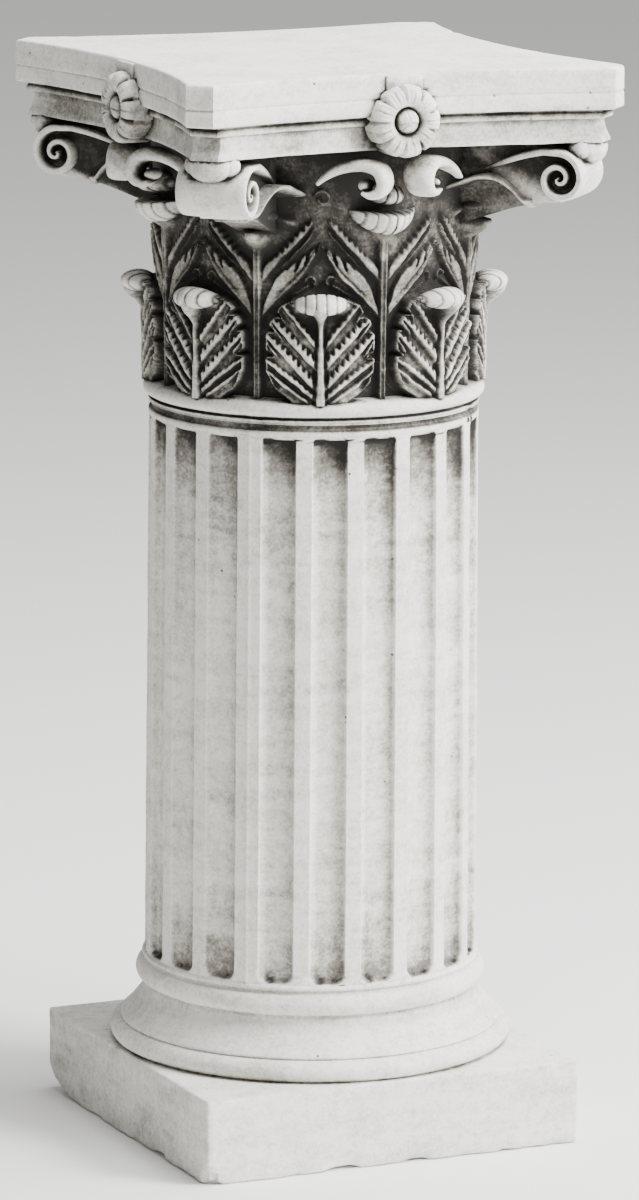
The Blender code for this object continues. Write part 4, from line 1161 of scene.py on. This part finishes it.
def aged_cast_stone():
    """Reconstituted limestone cast in a mould: chalky and matt, with soot grey and painted shade in its
    hollows.
    """
    material = bpy.data.materials.new("aged_cast_stone")
    material.use_nodes = True
    tree = material.node_tree
    shader = tree.nodes["Principled BSDF"]
    shader.inputs["Roughness"].default_value = 0.88
    shader.inputs["Specular IOR Level"].default_value = 0.30
    place = node(tree, "ShaderNodeTexCoord").outputs["Object"]
    near = node(tree, STORED, {"attribute_name": "near_hidden"}).outputs["Fac"]
    far = node(tree, STORED, {"attribute_name": "far_hidden"}).outputs["Fac"]
    dirt_and_shade_wash = node(tree, STORED, {"attribute_name": "dirt_and_shade_wash"}).outputs["Fac"]
    # Cloudy dirt about 35 mm across, smudges drawn out level, blots of 6 mm and grit of 2 mm
    cloud = node(tree, NOISE, {"Scale": 28.0, "Detail": 5.0, "Roughness": 0.62}, {"Vector": place})
    level = node(tree, "ShaderNodeMapping", {"Scale": (0.35, 0.35, 2.4)}, {"Vector": place})
    smudge = node(tree, NOISE, {"Scale": 46.0, "Detail": 4.0, "Roughness": 0.6}, {"Vector": level})
    blot = node(tree, NOISE, {"Scale": 165.0, "Detail": 4.0, "Roughness": 0.65}, {"Vector": place})
    grit = node(tree, NOISE, {"Scale": 480.0, "Detail": 3.0, "Roughness": 0.6}, {"Vector": place})
    # Dirt and painted shade from how hidden the place is and from what was seen there, in patches
    # The near share darkens the hollows as dirt and painted shade; the far share, less a little, is
    # painted shade
    close = node(tree, MATH, {"operation": "MULTIPLY", 1: 1.15}, {0: near})
    wide = node(tree, MATH, {"operation": "MULTIPLY_ADD", 1: 1.0, 2: -0.18}, {0: far})
    hidden = node(tree, MATH, {"operation": "ADD"}, {0: close, 1: wide})
    dirt_and_shade = node(tree, MATH, {"operation": "ADD", "use_clamp": True}, {0: hidden, 1: dirt_and_shade_wash})
    patchy = node(tree, RANGE,
                  {"From Min": 0.3, "From Max": 0.7, "To Min": 0.80, "To Max": 1.2},
                  {"Value": cloud})
    total = node(tree, MATH, {"operation": "MULTIPLY"}, {0: dirt_and_shade, 1: patchy})
    for source, low, high in ((cloud, -0.05, 0.08), (smudge, -0.05, 0.08),
                              (blot, -0.06, 0.10), (grit, -0.06, 0.10)):
        spread = node(tree, RANGE,
                      {"From Min": 0.35, "From Max": 0.65, "To Min": low, "To Max": high},
                      {"Value": source})
        total = node(tree, MATH, {"operation": "ADD"}, {0: total, 1: spread})
    tones = node(tree, "ShaderNodeValToRGB", None, {"Fac": total})
    ramp = tones.color_ramp
    while len(ramp.elements) < len(STONE_TONES):
        ramp.elements.new(0.5)
    for element, (position, code) in zip(ramp.elements, STONE_TONES):
        element.position = position
        element.color = stone_colour(code)
    # Air holes that the mould left, about 1 mm wide and well apart
    cells = node(tree, "ShaderNodeTexVoronoi", {"Scale": 85.0, "Randomness": 1.0}, {"Vector": place})
    pits = node(tree, RANGE, {"From Min": 0.05, "From Max": 0.11, "To Min": 1.0, "To Max": 0.0},
                {"Value": cells.outputs["Distance"]})
    chance = node(tree, MATH, {"operation": "GREATER_THAN", 1: 0.80}, {0: cells.outputs["Color"]})
    pit = node(tree, MATH, {"operation": "MULTIPLY"}, {0: pits, 1: chance})
    # The mix takes its two colours at sockets 6 and 7 and gives its colour at output 2
    pitted = node(tree, "ShaderNodeMix", {"data_type": "RGBA"}, {"Factor": pit, 6: tones})
    pitted.inputs[7].default_value = stone_colour(PIT_TONE)
    tree.links.new(pitted.outputs[2], shader.inputs["Base Color"])
    surface = node(tree, MATH, {"operation": "SUBTRACT"}, {0: grit, 1: pit})
    surface = node(tree, MATH, {"operation": "ADD"}, {0: surface, 1: blot})
    bump = node(tree, "ShaderNodeBump", {"Strength": 0.40, "Distance": 0.0007}, {"Height": surface})
    tree.links.new(bump.outputs["Normal"], shader.inputs["Normal"])
    return material


def matt_white_floor():
    """Matt white card: bright and even, without a highlight."""
    material = bpy.data.materials.new("matt_white_card")
    material.use_nodes = True
    shader = material.node_tree.nodes["Principled BSDF"]
    shader.inputs["Base Color"].default_value = stone_colour("#F0F0EE")
    shader.inputs["Roughness"].default_value = 0.95
    return material


def studio():
    """A pale floor, a sky that is brighter on the right, and two large soft lights."""
    bm = bmesh.new()
    bmesh.ops.create_grid(bm, x_segments=1, y_segments=1, size=FLOOR_HALF)
    bmesh.ops.translate(bm, vec=(0.0, 0.0, -FLOOR_DROP), verts=bm.verts)
    mesh = bpy.data.meshes.new("studio_floor")
    bm.to_mesh(mesh)
    bm.free()
    mesh.materials.append(matt_white_floor())
    floor = add_object("studio_floor", mesh)
    world = bpy.data.worlds.new("soft_sky")
    world.use_nodes = True
    sky = world.node_tree
    background = sky.nodes["Background"]
    background.inputs["Color"].default_value = (1.0, 1.0, 1.0, 1.0)
    direction = node(sky, "ShaderNodeTexCoord").outputs["Generated"]
    side = node(sky, "ShaderNodeVectorMath", {"operation": "DOT_PRODUCT", 1: SKY_BRIGHT_SIDE},
                {0: direction})
    strength = node(sky, RANGE, {"From Min": -1.0, "From Max": 1.0, "To Min": SKY_STRENGTH[0],
                                 "To Max": SKY_STRENGTH[1]}, {"Value": side.outputs["Value"]})
    sky.links.new(strength.outputs["Result"], background.inputs["Strength"])
    bpy.context.scene.world = world
    for name, place, size, power in LIGHTS:
        light = bpy.data.lights.new(name, "AREA")
        light.size = size
        light.energy = power
        lamp = add_object(name, light)
        lamp.location = place
        lamp.rotation_euler = (Vector(place) - LIGHTS_AIM).to_track_quat("Z", "Y").to_euler()


def photo_camera():
    """The camera of the photo: corner on, a little above, from about 4.8 m."""
    azimuth, pitch, roll = (math.radians(angle) for angle in CAMERA_ANGLES)
    back = Vector((math.sin(azimuth) * math.cos(pitch), -math.cos(azimuth) * math.cos(pitch),
                   math.sin(pitch)))
    level = Vector((math.cos(azimuth), math.sin(azimuth), 0.0))
    up = back.cross(level)
    right = level * math.cos(roll) + up * math.sin(roll)
    top = up * math.cos(roll) - level * math.sin(roll)
    lens = bpy.data.cameras.new("photo_camera")
    lens.sensor_width = SENSOR_MM
    lens.lens = LENS_MM
    lens.clip_end = 100.0
    camera = add_object("photo_camera", lens)
    place = Matrix((right, top, back)).transposed().to_4x4()
    shift = right * CAMERA_SHIFT[0] + top * CAMERA_SHIFT[1]
    place.translation = CAMERA_AIM + shift + back * CAMERA_DISTANCE
    camera.matrix_world = place
    bpy.context.scene.camera = camera


def main():
    """Build the pieces, store their dirt and painted shade, and set up the studio."""
    shaft = fluted_shaft()
    pieces = [plinth(), base_mouldings(), shaft, neck_mouldings()]
    pieces.append(leaf_shell("lower_leaves", CAPITAL_FOOT - LAP, LEAF_SPLIT, 112, 82))
    pieces.append(leaf_shell("upper_leaves", LEAF_SPLIT - 0.001, ABACUS_FOOT + LAP, 100, 96))
    pieces.append(tip_ring("lower_leaf_tips", LOWER_LEAF_ANGLES, LOWER_TIPS))
    pieces.append(tip_ring("face_leaf_tips", FACE_ANGLES, FACE_TIPS))
    pieces.append(tip_ring("corner_leaf_tips", CORNER_ANGLES, CORNER_TIPS))
    pieces += [corner_volutes(), helices(), corner_knobs(), abacus(), rosettes()]
    hidden_dirt_and_shade(pieces)
    paint_dirt_and_shade([piece for piece in pieces if piece is not shaft])
    shade_shaft(shaft)
    stone = aged_cast_stone()
    for piece in pieces:
        piece.data.materials.append(stone)
        print(piece.name, sum(len(face.vertices) - 2 for face in piece.data.polygons), "triangles")
    studio()
    photo_camera()


main()
